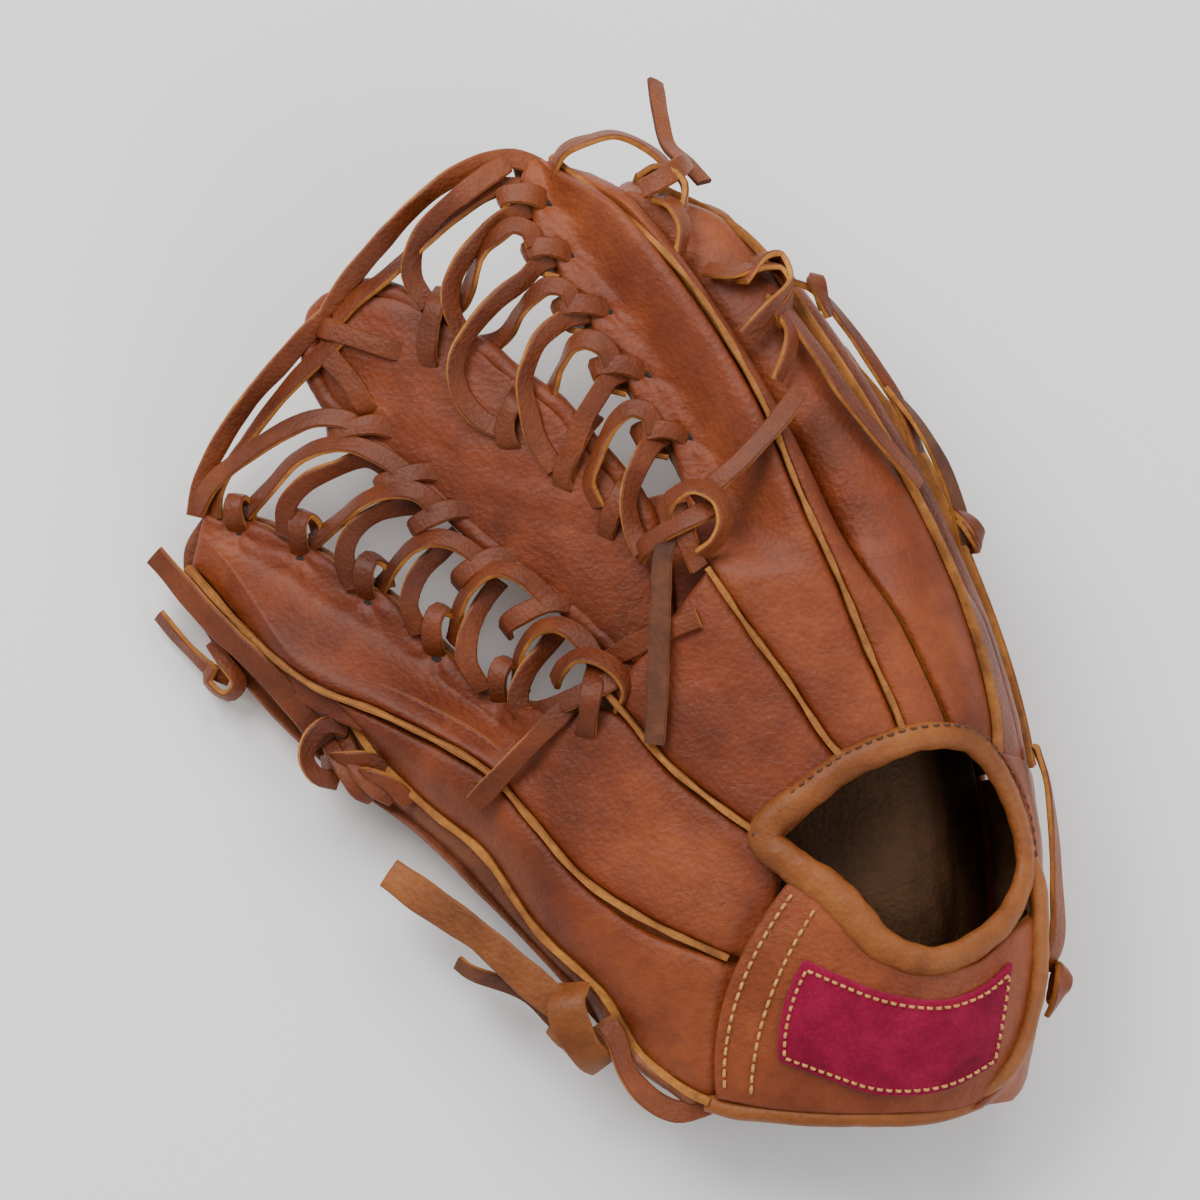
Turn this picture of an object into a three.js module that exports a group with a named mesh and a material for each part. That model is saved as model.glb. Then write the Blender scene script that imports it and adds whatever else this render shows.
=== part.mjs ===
// Baseball glove: an outfielder's glove with a laced tongue web, worn on the right hand.
// It lies palm down, so the back of the hand is up. Millimetres, +Z up, +Y towards the fingertips.
//
// The leather is laid out on one curved sheet. A place on it is [a, y, n]: a runs across the hand
// along the sheet (0 on the crest, negative towards the thumb, positive over the side of the hand
// towards the little finger), y runs from the heel to the fingertips, and n is the height above
// the sheet, which is the crown of the finger backs. The palm lies below it, at negative n.
import * as THREE from 'three';

// The sheet: how the glove is bent, in millimetres and radians
const ROLL_RADIUS = 45;
const ROLL_ANGLE = 1.5;
const CREST_AT_HEEL = 19;
const CREST_BEND = 500;
const THUMB_SLOPE = 0.35;
const THUMB_BEND = 60;
// Leather and lace sizes
const LEATHER = 3;
const LINING = 1.5;
const SEAM_GAP = 2;
const LINING_GAP = 0.8;
const WELT_WIDTH = 2;
const LACE_WIDTH = 5.5;
const LACE_THICK = 2.4;
const BINDING_RADIUS = 3.4;
// How steeply the little finger's side falls to its flange, at the heel and at the opening
const SIDE_STEEPNESS = [3.2, 6.6];
// Depths of the layers below the crown of the backs
const FLANGE_DEPTH = 13;
const CREASE_DEPTH = 13;
const SHELL_AT_EDGE = 17.2;
const SHELL_IN_FINGERS = 26;
const SHELL_IN_PALM = 32.5;
const LINING_IN_FINGERS = 22.5;
const LINING_IN_PALM = 25;
const PAD_DEPTH = 27.6;
const PAD_THICK = 3.8;
const WEB_DEPTH = 14;
const WEB_THICK = 2.2;
// The way up of the glove as it lies on its palm: it leans on the little finger and the thumb
const WAY_UP = new THREE.Vector3(0.133, 0.197, 1).normalize();

const COLOURS = {
  leather: 0x8c4b32,
  palm: 0x9a5a3a,
  lining: 0xb8803f,
  felt: 0xd8cbb4,
  welt: 0xbe7328,
  binding: 0xb46e32,
  lace: 0x8a4a2c,
  patch: 0x961941,
};

const smooth = (from, to, value) => THREE.MathUtils.smoothstep(value, from, to);

// ---- the sheet -------------------------------------------------------------------------------

function crestX(y) {
  return CREST_AT_HEEL - (y - 50) ** 2 / CREST_BEND;
}

function sheet(a, y) {
  const angle = THREE.MathUtils.clamp(a / ROLL_RADIUS, 0, ROLL_ANGLE);
  const flat = Math.min(a, 0);
  const wall = Math.max(a - ROLL_RADIUS * ROLL_ANGLE, 0);
  const across = flat + ROLL_RADIUS * Math.sin(angle) + wall * Math.cos(ROLL_ANGLE);
  const roll = ROLL_RADIUS * (1 - Math.cos(angle)) + wall * Math.sin(ROLL_ANGLE);
  const thumbFall = THUMB_SLOPE * (Math.hypot(flat, THUMB_BEND) - THUMB_BEND);
  const tipFall = Math.max(0, y - 140) ** 2 / 800;
  const heelFall = Math.max(0, 60 - y) ** 2 / 240;
  return new THREE.Vector3(crestX(y) + across, y, -roll - thumbFall - tipFall - heelFall);
}

function sheetNormal(a, y) {
  const step = 0.5;
  const alongA = sheet(a + step, y).sub(sheet(a - step, y));
  const alongY = sheet(a, y + step).sub(sheet(a, y - step));
  return alongA.cross(alongY).normalize();
}

function place(a, y, n) {
  return sheet(a, y).addScaledVector(sheetNormal(a, y), n);
}

// A place on the sheet given by what is seen from straight above the back of the hand
function seen(x, y, n = 0) {
  const across = x - crestX(y);
  const sine = THREE.MathUtils.clamp(across / ROLL_RADIUS, -1, 1);
  return [across < 0 ? across : ROLL_RADIUS * Math.asin(sine), y, n];
}

const seenAll = (points) => points.map((point) => seen(...point));

function route(points, closed = false) {
  const places = points.map(([a, y, n = 0]) => new THREE.Vector3(a, y, n));
  return new THREE.CatmullRomCurve3(places, closed, 'centripetal');
}

// ---- how the pieces are made -----------------------------------------------------------------

const glove = new THREE.Group();

function add(name, colour, geometry, roughness = 0.6) {
  const material = new THREE.MeshStandardMaterial({ color: colour, roughness, metalness: 0 });
  const mesh = new THREE.Mesh(geometry, material);
  mesh.name = name;
  glove.add(mesh);
}

function bend(geometry, shape) {
  const position = geometry.getAttribute('position');
  for (let i = 0; i < position.count; i += 1) {
    const p = shape(position.getX(i), position.getY(i), position.getZ(i));
    position.setXYZ(i, p.x, p.y, p.z);
  }
  geometry.computeVertexNormals();
  return geometry;
}

// A piece of leather between two long edges, from its start (t = 0) to its end (t = 1);
// e runs from its left edge to its right one, and depth says how far it lies below the crown
function panel(name, colour, piece) {
  const { left, right, columns, rows, depth, thick = LEATHER, gap = SEAM_GAP } = piece;
  const leftEdge = route(left);
  const rightEdge = route(right);
  const box = new THREE.BoxGeometry(1, 1, 1, columns, rows, 1);
  add(name, colour, bend(box, (x, y, z) => {
    const t = y + 0.5;
    const from = leftEdge.getPointAt(t);
    const to = rightEdge.getPointAt(t);
    const inset = Math.min(0.4, gap / from.distanceTo(to));
    const e = x + 0.5;
    const at = from.lerp(to, inset + e * (1 - 2 * inset));
    const below = depth(e, t, at.x, at.y) + (z < 0 ? thick : 0);
    return place(at.x, at.y, -below);
  }));
}

// A flat strip of rawhide along a route of places
function strip(name, colour, points, steps, width = LACE_WIDTH, thick = LACE_THICK) {
  const line = route(points);
  const box = new THREE.BoxGeometry(1, 1, 1, 1, steps, 1);
  add(name, colour, bend(box, (x, y, z) => {
    const t = y + 0.5;
    const middle = onSheet(line.getPointAt(t));
    const before = onSheet(line.getPointAt(Math.max(0, t - 0.01)));
    const after = onSheet(line.getPointAt(Math.min(1, t + 0.01)));
    const flat = line.getPointAt(t);
    const ahead = after.sub(before).normalize();
    const side = ahead.clone().cross(sheetNormal(flat.x, flat.y)).normalize();
    const up = side.clone().cross(ahead);
    return middle.addScaledVector(side, x * width).addScaledVector(up, z * thick);
  }), 0.7);
}

function onSheet(point) {
  return place(point.x, point.y, point.z);
}

// A rolled edge that runs all the way round a closed line
function ring(name, colour, points, steps, radius) {
  const line = route(points, true);
  const torus = new THREE.TorusGeometry(2, 1, 8, steps);
  add(name, colour, bend(torus, (x, y, z) => {
    const turn = (Math.atan2(y, x) / (2 * Math.PI) + 1) % 1;
    const flat = line.getPointAt(turn);
    const normal = sheetNormal(flat.x, flat.y);
    const before = onSheet(line.getPointAt((turn + 0.99) % 1));
    const ahead = onSheet(line.getPointAt((turn + 0.01) % 1)).sub(before);
    const side = ahead.cross(normal).normalize();
    const out = (Math.hypot(x, y) - 2) * radius;
    return onSheet(flat).addScaledVector(side, out).addScaledVector(normal, z * radius);
  }));
}

// A round cord of leather along an open line
function roll(name, colour, points, steps, radius) {
  const line = route(points);
  const rod = new THREE.CylinderGeometry(1, 1, 1, 8, steps);
  add(name, colour, bend(rod, (x, y, z) => {
    const t = y + 0.5;
    const flat = line.getPointAt(t);
    const normal = sheetNormal(flat.x, flat.y);
    const before = onSheet(line.getPointAt(Math.max(0, t - 0.01)));
    const ahead = onSheet(line.getPointAt(Math.min(1, t + 0.01))).sub(before);
    const side = ahead.cross(normal).normalize();
    return onSheet(flat).addScaledVector(side, x * radius).addScaledVector(normal, z * radius);
  }));
}

function knot(name, at, size) {
  const centre = onSheet(new THREE.Vector3(...at));
  const ball = new THREE.SphereGeometry(1, 10, 6);
  add(name, COLOURS.lace, bend(ball, (x, y, z) => {
    const p = new THREE.Vector3(x * size[0], y * size[1], z * size[2]);
    return p.add(centre);
  }), 0.7);
}

// ---- seams and edges on the sheet ------------------------------------------------------------

const indexEdge = [[-31, 172], [-28, 188], [-30, 208], [-28, 227], [-25, 243], [-18, 261], [-8, 275]];
const knuckleSeam = [[-12, 104], [-20, 123], [-26, 137], [-31, 154]];
const indexSeam = [[9, 112], [6, 130], [5, 150], [5, 175], [9, 203], [11, 240], [9, 278]];
const indexCrease = [[25, 112], [21, 132], [18, 152], [19, 185], [21, 220], [24, 250], [22, 275]];
const middleSeam = [[44, 110], [47, 140], [46, 180], [46, 220], [46, 250], [43, 276]];
const middleCrease = [[59, 96], [61, 140], [62, 180], [62, 230], [58, 268]];
const ringSeam = [[76, 96], [77, 150], [78, 200], [75, 263]];
const ringCrease = [[92, 96], [93, 150], [93, 200], [90, 252]];
const littleSeam = [[106, 96], [108, 150], [108, 200], [105, 240]];
const littleEdge = [[115, 96], [121, 140], [126, 190], [121, 234]];
const thumbSeam = seenAll([[-52, 54], [-70, 66], [-84, 82], [-97, 96], [-127, 112], [-147, 120], [-170, 136],
  [-188, 153]]);
const thumbWebEdge = seenAll([[-65, 116], [-80, 114], [-93, 115], [-104, 121], [-118, 134], [-131, 146],
  [-145, 155], [-165, 166], [-184, 170]]);
const thumbLowSeam = seenAll([[-40, 4], [-55, 13], [-66, 30], [-84, 48], [-101, 72], [-115, 83], [-130, 97],
  [-141, 112]]);
const thumbOuterEdge = seenAll([[-39, -1], [-60, 10], [-84, 38], [-101, 57], [-122, 77], [-139, 89],
  [-161, 107], [-180, 129], [-191, 146]]);
const hingeLine = seenAll([[-37, 2], [-49, 52], [-63, 113]]);
const opening = seenAll([[-18, 77], [-4, 91], [12, 101], [28, 106], [41, 105], [50, 95], [56, 82], [58, 67],
  [54, 57], [47, 49], [38, 44], [28, 42], [17, 46], [8, 55], [-1, 64], [-10, 70]]).reverse();

// The finger backs dip to the laced edge at their tips
const tipDip = (tip) => (y) => FLANGE_DEPTH * smooth(tip - 24, tip, y);
const indexTip = tipDip(280);
const middleTip = tipDip(277);
const ringTip = tipDip(264);
const littleTip = tipDip(241);
const thumbTip = (x) => FLANGE_DEPTH * smooth(150, 188, -x);

// The fingers part above the knuckles, where a crease runs down between two of them
const creaseAt = (y) => CREASE_DEPTH * smooth(138, 172, y);

// A back that falls from its seam to the flat flange where the lacing goes through
const toFlange = (e) => FLANGE_DEPTH * (1 - smooth(0.34, 0.97, e));

// ---- finger backs ----------------------------------------------------------------------------

function fingerBack(name, left, right, rows, depth) {
  panel(name, COLOURS.leather, { left, right, columns: 4, rows, depth, gap: 2.4 });
}

function welt(name, seam, dip, steps) {
  const points = seam.map(([a, y]) => [a, y, 0.1 - dip(y)]);
  strip(name, COLOURS.welt, points, steps, WELT_WIDTH, LEATHER);
}

fingerBack('index_back_web_side', [...knuckleSeam, ...indexEdge], indexSeam, 16, (e, t, a, y) => (
  Math.max(indexTip(y), toFlange(e) * smooth(150, 176, y))));
fingerBack('index_back_outer', indexSeam, indexCrease, 14, (e, t, a, y) => (
  Math.max(indexTip(y), creaseAt(y) * e ** 2)));
fingerBack('middle_back_inner', indexCrease, middleSeam, 14, (e, t, a, y) => (
  Math.max(middleTip(y), creaseAt(y) * (1 - e) ** 2)));
fingerBack('middle_back_outer', middleSeam, middleCrease, 14, (e, t, a, y) => (
  Math.max(middleTip(y), creaseAt(y) * e ** 2)));
fingerBack('ring_back_inner', middleCrease, ringSeam, 12, (e, t, a, y) => (
  Math.max(ringTip(y), creaseAt(y) * (1 - e) ** 2)));
fingerBack('ring_back_outer', ringSeam, ringCrease, 12, (e, t, a, y) => (
  Math.max(ringTip(y), creaseAt(y) * e ** 2)));
fingerBack('little_back_inner', ringCrease, littleSeam, 11, (e, t, a, y) => (
  Math.max(littleTip(y), creaseAt(y) * (1 - e) ** 2)));
fingerBack('little_back_outer', littleSeam, littleEdge, 11, (e, t, a, y) => (
  Math.max(littleTip(y), toFlange(1 - e))));

welt('index_welt', indexSeam, indexTip, 30);
welt('middle_welt', middleSeam, middleTip, 28);
welt('ring_welt', ringSeam, ringTip, 16);
welt('little_welt', littleSeam, littleTip, 14);

// ---- back of the hand ------------------------------------------------------------------------

const webSeam = seenAll([[-23, 81], [-38, 92], [-46, 99], [-62, 118]]);
const flat = () => 0;
panel('knuckle_back', COLOURS.leather, {
  left: webSeam, right: [[-14, 103], [-20, 121], [-26, 137], [-31, 153]], columns: 4, rows: 5, depth: flat,
});
strip('knuckle_welt', COLOURS.welt, knuckleSeam, 8, WELT_WIDTH, LEATHER);
panel('hand_back_thumb_side', COLOURS.leather, {
  left: hingeLine.slice(1),
  right: seenAll([[-31, 45], [-25, 60], [-25, 72], [-27, 80], [-42, 93], [-62, 112.5]]),
  columns: 4,
  rows: 8,
  depth: flat,
});
panel('heel_back_thumb_side', COLOURS.leather, {
  left: seenAll([[-37, 2], [-48, 48]]),
  right: seenAll([[-32, 2], [-34, 16], [-33, 29], [-29, 40]]),
  columns: 1,
  rows: 5,
  gap: 0.3,
  depth: flat,
});
panel('heel_back_little_side', COLOURS.leather, {
  left: [[62, 2], [62, 30], [59, 54], [56, 68], [55, 80], [54, 92]],
  right: [[78, 2], [92, 40], [114, 92]],
  columns: 7,
  rows: 7,
  depth: (e, t) => FLANGE_DEPTH * (1 - smooth(0.05, 1, (1 - e) * THREE.MathUtils.lerp(...SIDE_STEEPNESS, t))),
});
ring('opening_binding', COLOURS.binding, opening, 40, BINDING_RADIUS);

// ---- wrist strap -----------------------------------------------------------------------------

const strapFoot = [...seenAll([[-29, 3], [-14, 1], [2, 0], [20, 0], [38, 1], [52, 5]]), [60, 8]];
const strapTop = [
  ...seenAll([[-12, 62], [-5, 60], [3, 50], [13, 40], [28, 35.5], [44, 38], [53, 46]]),
  [57, 50],
];

// The strap is laid between its foot and its top edge, so its left edge is drawn in by a curve
function strapPiece(name, colour, piece) {
  const { foot, top, bow, columns, rows, above, thick } = piece;
  const footLine = route(foot);
  const topLine = route(top);
  const box = new THREE.BoxGeometry(1, 1, 1, columns, rows, 1);
  add(name, colour, bend(box, (x, y, z) => {
    const e = x + 0.5;
    const t = y + 0.5;
    const at = footLine.getPointAt(e).lerp(topLine.getPointAt(e), t);
    const swell = bow * 4 * t * (1 - t) * (1 - e) ** 3;
    return place(at.x - swell, at.y, above - (z < 0 ? thick : 0));
  }), 0.65);
}

strapPiece('wrist_strap', COLOURS.leather, {
  foot: strapFoot, top: strapTop, bow: 8, columns: 14, rows: 5, above: 0, thick: LEATHER,
});
strapPiece('wrist_strap_lining', COLOURS.lining, {
  foot: strapFoot, top: strapTop, bow: 8, columns: 14, rows: 5, above: -LEATHER - LINING_GAP, thick: LINING,
});
strapPiece('strap_patch', COLOURS.patch, {
  foot: seenAll([[-12, 15], [2, 9.5], [15, 4.5], [33, 6], [48, 15]]),
  top: seenAll([[-4, 46], [5, 40.5], [17, 34], [33, 31], [45, 34.5], [53, 42]]),
  bow: 3,
  columns: 10,
  rows: 5,
  above: 2.2,
  thick: 1.4,
});
roll('heel_binding', COLOURS.binding, seenAll([[-30, -2, -2], [-14, -4, -2], [4, -5, -2], [20, -5, -2],
  [36, -4, -2], [50, 0, -2]]), 14, 2.8);

// ---- palm ------------------------------------------------------------------------------------

// How deep the palm shell lies: deepest under the palm, shallower in the fingers
const shellDepth = (y) => THREE.MathUtils.lerp(SHELL_IN_PALM, SHELL_IN_FINGERS, smooth(105, 165, y));
const liningDepth = (y) => THREE.MathUtils.lerp(LINING_IN_PALM, LINING_IN_FINGERS, smooth(105, 165, y));

const palmTips = [[-8, 275], [8, 278], [24, 272], [44, 275], [60, 262], [76, 262], [92, 246], [107, 238],
  [121, 233]];

// The palm shell runs up to every tip, so its rows are drawn between the heel and the tips
function palmPiece(name, colour, piece) {
  const { heel, tips, left, right, columns, rows, depth, thick } = piece;
  const heelLine = route(heel);
  const tipLine = route(tips);
  const leftLine = route(left);
  const rightLine = route(right);
  const corners = [heelLine.getPoint(0), heelLine.getPoint(1), tipLine.getPoint(0), tipLine.getPoint(1)];
  const box = new THREE.BoxGeometry(1, 1, 1, columns, rows, 1);
  add(name, colour, bend(box, (x, y, z) => {
    const e = x + 0.5;
    const t = y + 0.5;
    const rowsPart = heelLine.getPointAt(e).lerp(tipLine.getPointAt(e), t);
    const columnsPart = leftLine.getPointAt(t).lerp(rightLine.getPointAt(t), e);
    const lower = corners[0].clone().lerp(corners[1], e);
    const upper = corners[2].clone().lerp(corners[3], e);
    const at = rowsPart.add(columnsPart).sub(lower.lerp(upper, t));
    const below = depth(e, t, at.x, at.y) + (z < 0 ? thick : 0);
    return place(at.x, at.y, -below);
  }));
}

palmPiece('palm_shell', COLOURS.palm, {
  heel: [[-54, 1], [-20, 0], [20, 0], [55, 0], [78, 3]],
  tips: palmTips,
  left: [[-54, 1], [-64, 52], [-71, 108], [-55, 140], [-31, 172], [-30, 208], [-28, 227], [-18, 261],
    [-8, 275]],
  right: [[78, 3], [92, 40], [115, 96], [121, 140], [126, 190], [121, 233]],
  columns: 17,
  rows: 16,
  thick: LEATHER,
  depth: (e, t, a, y) => {
    const webSide = (1 - smooth(0, 0.1, e)) * smooth(150, 178, y);
    const outer = smooth(0.9, 1, e);
    const tips = smooth(0.94, 1, t);
    return THREE.MathUtils.lerp(shellDepth(y), SHELL_AT_EDGE, Math.max(webSide, outer, tips));
  },
});
palmPiece('palm_lining', COLOURS.lining, {
  heel: [[-52, 4], [-20, 4], [20, 4], [46, 4], [66, 6]],
  tips: [[2, 250], [24, 248], [44, 248], [60, 240], [76, 232], [92, 214]],
  left: [[-52, 4], [-60, 52], [-62, 100], [-34, 140], [-12, 172], [-10, 208], [-6, 230], [2, 250]],
  right: [[66, 6], [78, 40], [93, 90], [96, 150], [92, 214]],
  columns: 12,
  rows: 12,
  thick: LINING,
  depth: (e, t, a, y) => liningDepth(y),
});
panel('heel_pad_little_side', COLOURS.felt, {
  left: [[30, 10], [34, 40], [40, 72]],
  right: [[58, 10], [68, 40], [80, 72]],
  columns: 6,
  rows: 5,
  thick: PAD_THICK,
  depth: () => PAD_DEPTH,
});
panel('little_finger_stiffener', COLOURS.felt, {
  left: [[92, 60], [98, 120], [99, 200]],
  right: [[99, 60], [109, 120], [110, 200]],
  columns: 2,
  rows: 10,
  thick: 2.5,
  depth: () => 16.6,
});

// ---- thumb -----------------------------------------------------------------------------------

panel('thumb_back_web_side', COLOURS.leather, {
  left: thumbSeam,
  right: thumbWebEdge,
  columns: 5,
  rows: 14,
  gap: 3.1,
  depth: (e, t, a, y) => {
    const x = sheet(a, y).x;
    return Math.max(thumbTip(x), toFlange(1 - e) * smooth(0, 0.2, t));
  },
});
panel('thumb_back_outer', COLOURS.leather, {
  left: thumbLowSeam,
  right: seenAll([[-51.5, 50], [-70, 64], [-84, 80], [-97, 94], [-127, 110], [-141, 116.5]]),
  columns: 4,
  rows: 10,
  depth: (e) => 9 * (1 - e) ** 2,
});
strip('thumb_back_welt', COLOURS.welt, thumbSeam.map(([a, y]) => {
  const x = sheet(a, y).x;
  return [a, y, 0.1 - thumbTip(x)];
}), 28, WELT_WIDTH, LEATHER);
palmPiece('thumb_palm_shell', COLOURS.palm, {
  heel: seenAll([[-39.5, 1], [-51, 52], [-66, 113]]),
  tips: seenAll([[-191, 146], [-192, 158], [-186, 170]]),
  left: thumbOuterEdge,
  right: thumbWebEdge,
  columns: 6,
  rows: 14,
  thick: LEATHER,
  depth: (e, t) => {
    const inside = THREE.MathUtils.lerp(SHELL_IN_PALM, 27, smooth(0.1, 0.5, t));
    const outer = 1 - smooth(0, 0.2, e);
    const webSide = smooth(0.8, 1, e) * smooth(0.02, 0.24, t);
    const tip = smooth(0.88, 1, t);
    return THREE.MathUtils.lerp(inside, SHELL_AT_EDGE, Math.max(outer, webSide, tip));
  },
});

palmPiece('thumb_lining', COLOURS.lining, {
  heel: seenAll([[-50, 24], [-56, 60], [-70, 104]]),
  tips: seenAll([[-168, 142], [-168, 146], [-166, 151]]),
  left: seenAll([[-50, 24], [-76, 56], [-106, 90], [-138, 116], [-168, 142]]),
  right: seenAll([[-70, 102], [-97, 102], [-123, 121], [-147, 138], [-166, 150]]),
  columns: 4,
  rows: 10,
  thick: LINING,
  depth: (e, t) => THREE.MathUtils.lerp(LINING_IN_PALM, 22, smooth(0.1, 0.5, t)),
});
panel('heel_pad_thumb_side', COLOURS.felt, {
  left: seenAll([[-63, 42], [-78, 60], [-94, 80]]),
  right: seenAll([[-62, 60], [-72, 74], [-86, 87]]),
  columns: 4,
  rows: 4,
  thick: 2.4,
  depth: () => 27.4,
});
panel('thumb_stiffener', COLOURS.felt, {
  left: seenAll([[-84, 52], [-105, 77], [-132, 99], [-156, 122]]),
  right: seenAll([[-77, 60], [-98, 85], [-126, 107], [-150, 129]]),
  columns: 2,
  rows: 8,
  thick: 2.5,
  gap: 0.5,
  depth: () => 13.2,
});

// A leather loop inside the shell that holds the wearer's finger down on the lining
function fingerLoop(name, at, width, reach, height, depth) {
  const box = new THREE.BoxGeometry(1, 1, 1, 1, 14, 1);
  add(name, COLOURS.lining, bend(box, (x, y, z) => {
    const turn = Math.PI * (0.5 - y);
    const out = z * LINING;
    const across = at[0] + (reach + out) * Math.cos(turn);
    const up = (height + out) * Math.sin(turn) - depth;
    return place(across, at[1] - x * width, up);
  }));
}
fingerLoop('little_finger_loop', [84, 112], 16, 9, 12, 18.4);
fingerLoop('thumb_loop', seen(-83, 85), 15, 7, 8, 21.6);

// ---- web -------------------------------------------------------------------------------------

const tongueIndexSide = seenAll([[-54, 139], [-55, 155], [-61, 173], [-74, 187], [-83, 198], [-95, 206],
  [-104, 214], [-115, 219]]);
const tongueThumbSide = seenAll([[-63, 133], [-74, 144], [-93, 159], [-106, 169], [-116, 180], [-131, 193],
  [-143, 203], [-148, 211]]);
function webLayer(name, colour, depth) {
  palmPiece(name, colour, {
    heel: [tongueThumbSide[0], tongueIndexSide[0]],
    tips: [
      tongueThumbSide.at(-1),
      ...seenAll([[-146, 224], [-134, 230], [-122, 227]]),
      tongueIndexSide.at(-1),
    ],
    left: tongueThumbSide,
    right: tongueIndexSide,
    columns: 5,
    rows: 12,
    thick: WEB_THICK,
    depth: () => depth,
  });
}
webLayer('web_tongue_back', COLOURS.leather, WEB_DEPTH);
webLayer('web_tongue_palm', COLOURS.palm, WEB_DEPTH + WEB_THICK + 0.6);
const webEdge = seenAll([[-58, 131], [-50, 138], [-51, 155], [-58, 175], [-71, 190], [-80, 201], [-92, 209],
  [-101, 217], [-113, 222], [-122, 231], [-134, 235], [-150, 228], [-152, 212], [-146, 200], [-133, 189],
  [-119, 177], [-108, 166], [-95, 155], [-76, 140], [-66, 131]]).map(([a, y]) => [a, y, -16.2]);
ring('web_binding', COLOURS.binding, webEdge, 60, 2.3);

// The two short strips that cross over the tongue's tip
strip('web_tip_strip_upper', COLOURS.lace, seenAll([[-146, 222, -12], [-137, 219, -12],
  [-128, 217, -12]]), 3);
strip('web_tip_strip_lower', COLOURS.lace, seenAll([[-145, 214, -12], [-140, 208, -12],
  [-136, 202, -12]]), 3);

// ---- web lacing ------------------------------------------------------------------------------

// One lace runs to and fro between a stall's flange and the tongue, from each stall hole to the
// tongue's hole beside it, along the edge to the next hole and back
function lacing(name, stallHoles, tongueHoles, steps) {
  const points = stallHoles.flatMap((hole, i) => {
    const pair = [hole, tongueHoles[i]];
    return i % 2 ? pair.reverse() : pair;
  });
  strip(name, COLOURS.lace, points, steps, LACE_WIDTH);
}
const onFlange = -10.8;
const onTongue = -12.2;
lacing(
  'index_web_lace',
  seenAll([[-83, 262, onFlange], [-74, 246, onFlange], [-63, 229, onFlange], [-52, 210, onFlange]]),
  seenAll([[-112, 214, onTongue], [-97, 201, onTongue], [-83, 188, onTongue], [-69, 175, onTongue]]),
  56,
);
lacing(
  'thumb_web_lace',
  seenAll([[-154, 156, -10.2], [-135, 143, -10.2], [-117, 128, -10.2], [-98, 116, -10.2]]),
  seenAll([[-132, 196, onTongue], [-118, 186, onTongue], [-104, 172, onTongue], [-88, 158, onTongue]]),
  64,
);
strip('top_lace_index', COLOURS.lace, seenAll([[-92, 276, -14], [-108, 269, -13], [-128, 251, -12],
  [-139, 239, -11]]), 10);
strip('top_lace_index_inner', COLOURS.lace, seenAll([[-94, 266, -14], [-106, 258, -13], [-119, 246, -12],
  [-131, 236.5, -11]]), 8);
strip('top_lace_thumb', COLOURS.lace, seenAll([[-158, 219, -14], [-167, 206, -13], [-177, 193, -12],
  [-186, 180, -12]]), 10);
strip('top_lace_thumb_inner', COLOURS.lace, seenAll([[-151, 205, -13], [-160, 196, -13], [-170, 184, -12],
  [-176, 175, -12]]), 8);

// ---- laces, knots and their ends -------------------------------------------------------------

const overBack = 3.2;
strip('fingertip_lace', COLOURS.lace, seenAll([[-76, 270, overBack], [-66, 275, 1], [-58, 275, 0],
  [-49, 271, overBack], [-40, 262, overBack], [-24, 247, 1]]), 14);
strip('fingertip_lace_end', COLOURS.lace, [[50, 277, -4], [56, 284, 1], [62, 290, 7]], 3);
strip('middle_lace_end', COLOURS.lace, seenAll([[-12, 224, overBack], [-2, 213, overBack],
  [10, 197, overBack], [25, 177, overBack]]), 8);
strip('little_lace', COLOURS.lace, [[56, 232, 4], [60, 205, 4], [60, 182, 4], [60, 160, 4]], 8);
strip('index_base_lace', COLOURS.lace, seenAll([[-30, 184, overBack], [-22, 193, overBack],
  [-9, 202, overBack]]), 4);
knot('index_base_knot', seen(-37, 170, 1), [7, 8, 4.5]);
strip('web_base_lace', COLOURS.lace, seenAll([[-46, 146, 2.6], [-47, 130, 2.6], [-49, 112, 2.6]]), 6);
knot('thumb_base_knot', seen(-72, 121, -6), [8, 7, 4]);
strip('thumb_base_lace_end', COLOURS.lace, seenAll([[-80, 108, 4.4], [-90, 98, 4.4], [-98, 88, 4.4]]), 4);
strip('thumb_edge_lace_end', COLOURS.lace, seenAll([[-151, 110, -4.5], [-164, 124, -4.5], [-180, 140, -4.5],
  [-195, 157, -4.5]]), 8, 7);
knot('thumb_edge_knot', seen(-140, 101, -7.5), [7, 7, 4]);
strip('wrist_lace_end', COLOURS.lace, seenAll([[-125, 66, -6], [-110, 53, -5], [-93, 40, -4],
  [-76, 28, -3]]), 8, 8);
knot('wrist_lace_knot', seen(-70, 21, -3), [5, 5, 3.4]);
strip('strap_lace_end', COLOURS.lace, [[66, 98, 3.4], [69, 82, 3.4], [67, 60, 3.4], [65, 46, 3.4]], 8, 7);

// ---- how it lies -----------------------------------------------------------------------------

// The glove is turned onto its palm and set down, with its origin under the middle of its box
const UP = new THREE.Vector3(0, 0, 1);
const turned = new THREE.Group();
turned.quaternion.setFromUnitVectors(WAY_UP, UP);
turned.add(glove);
const group = new THREE.Group();
group.add(turned);
group.updateMatrixWorld(true);
const box = new THREE.Box3().setFromObject(turned, true);
const middle = box.getCenter(new THREE.Vector3());
turned.position.set(-middle.x, -middle.y, -box.min.z);

export default group;
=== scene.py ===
"""Baseball glove: the looks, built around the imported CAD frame."""
import math

import bpy
import bmesh
import numpy as np
from mathutils import Matrix, Vector


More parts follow.
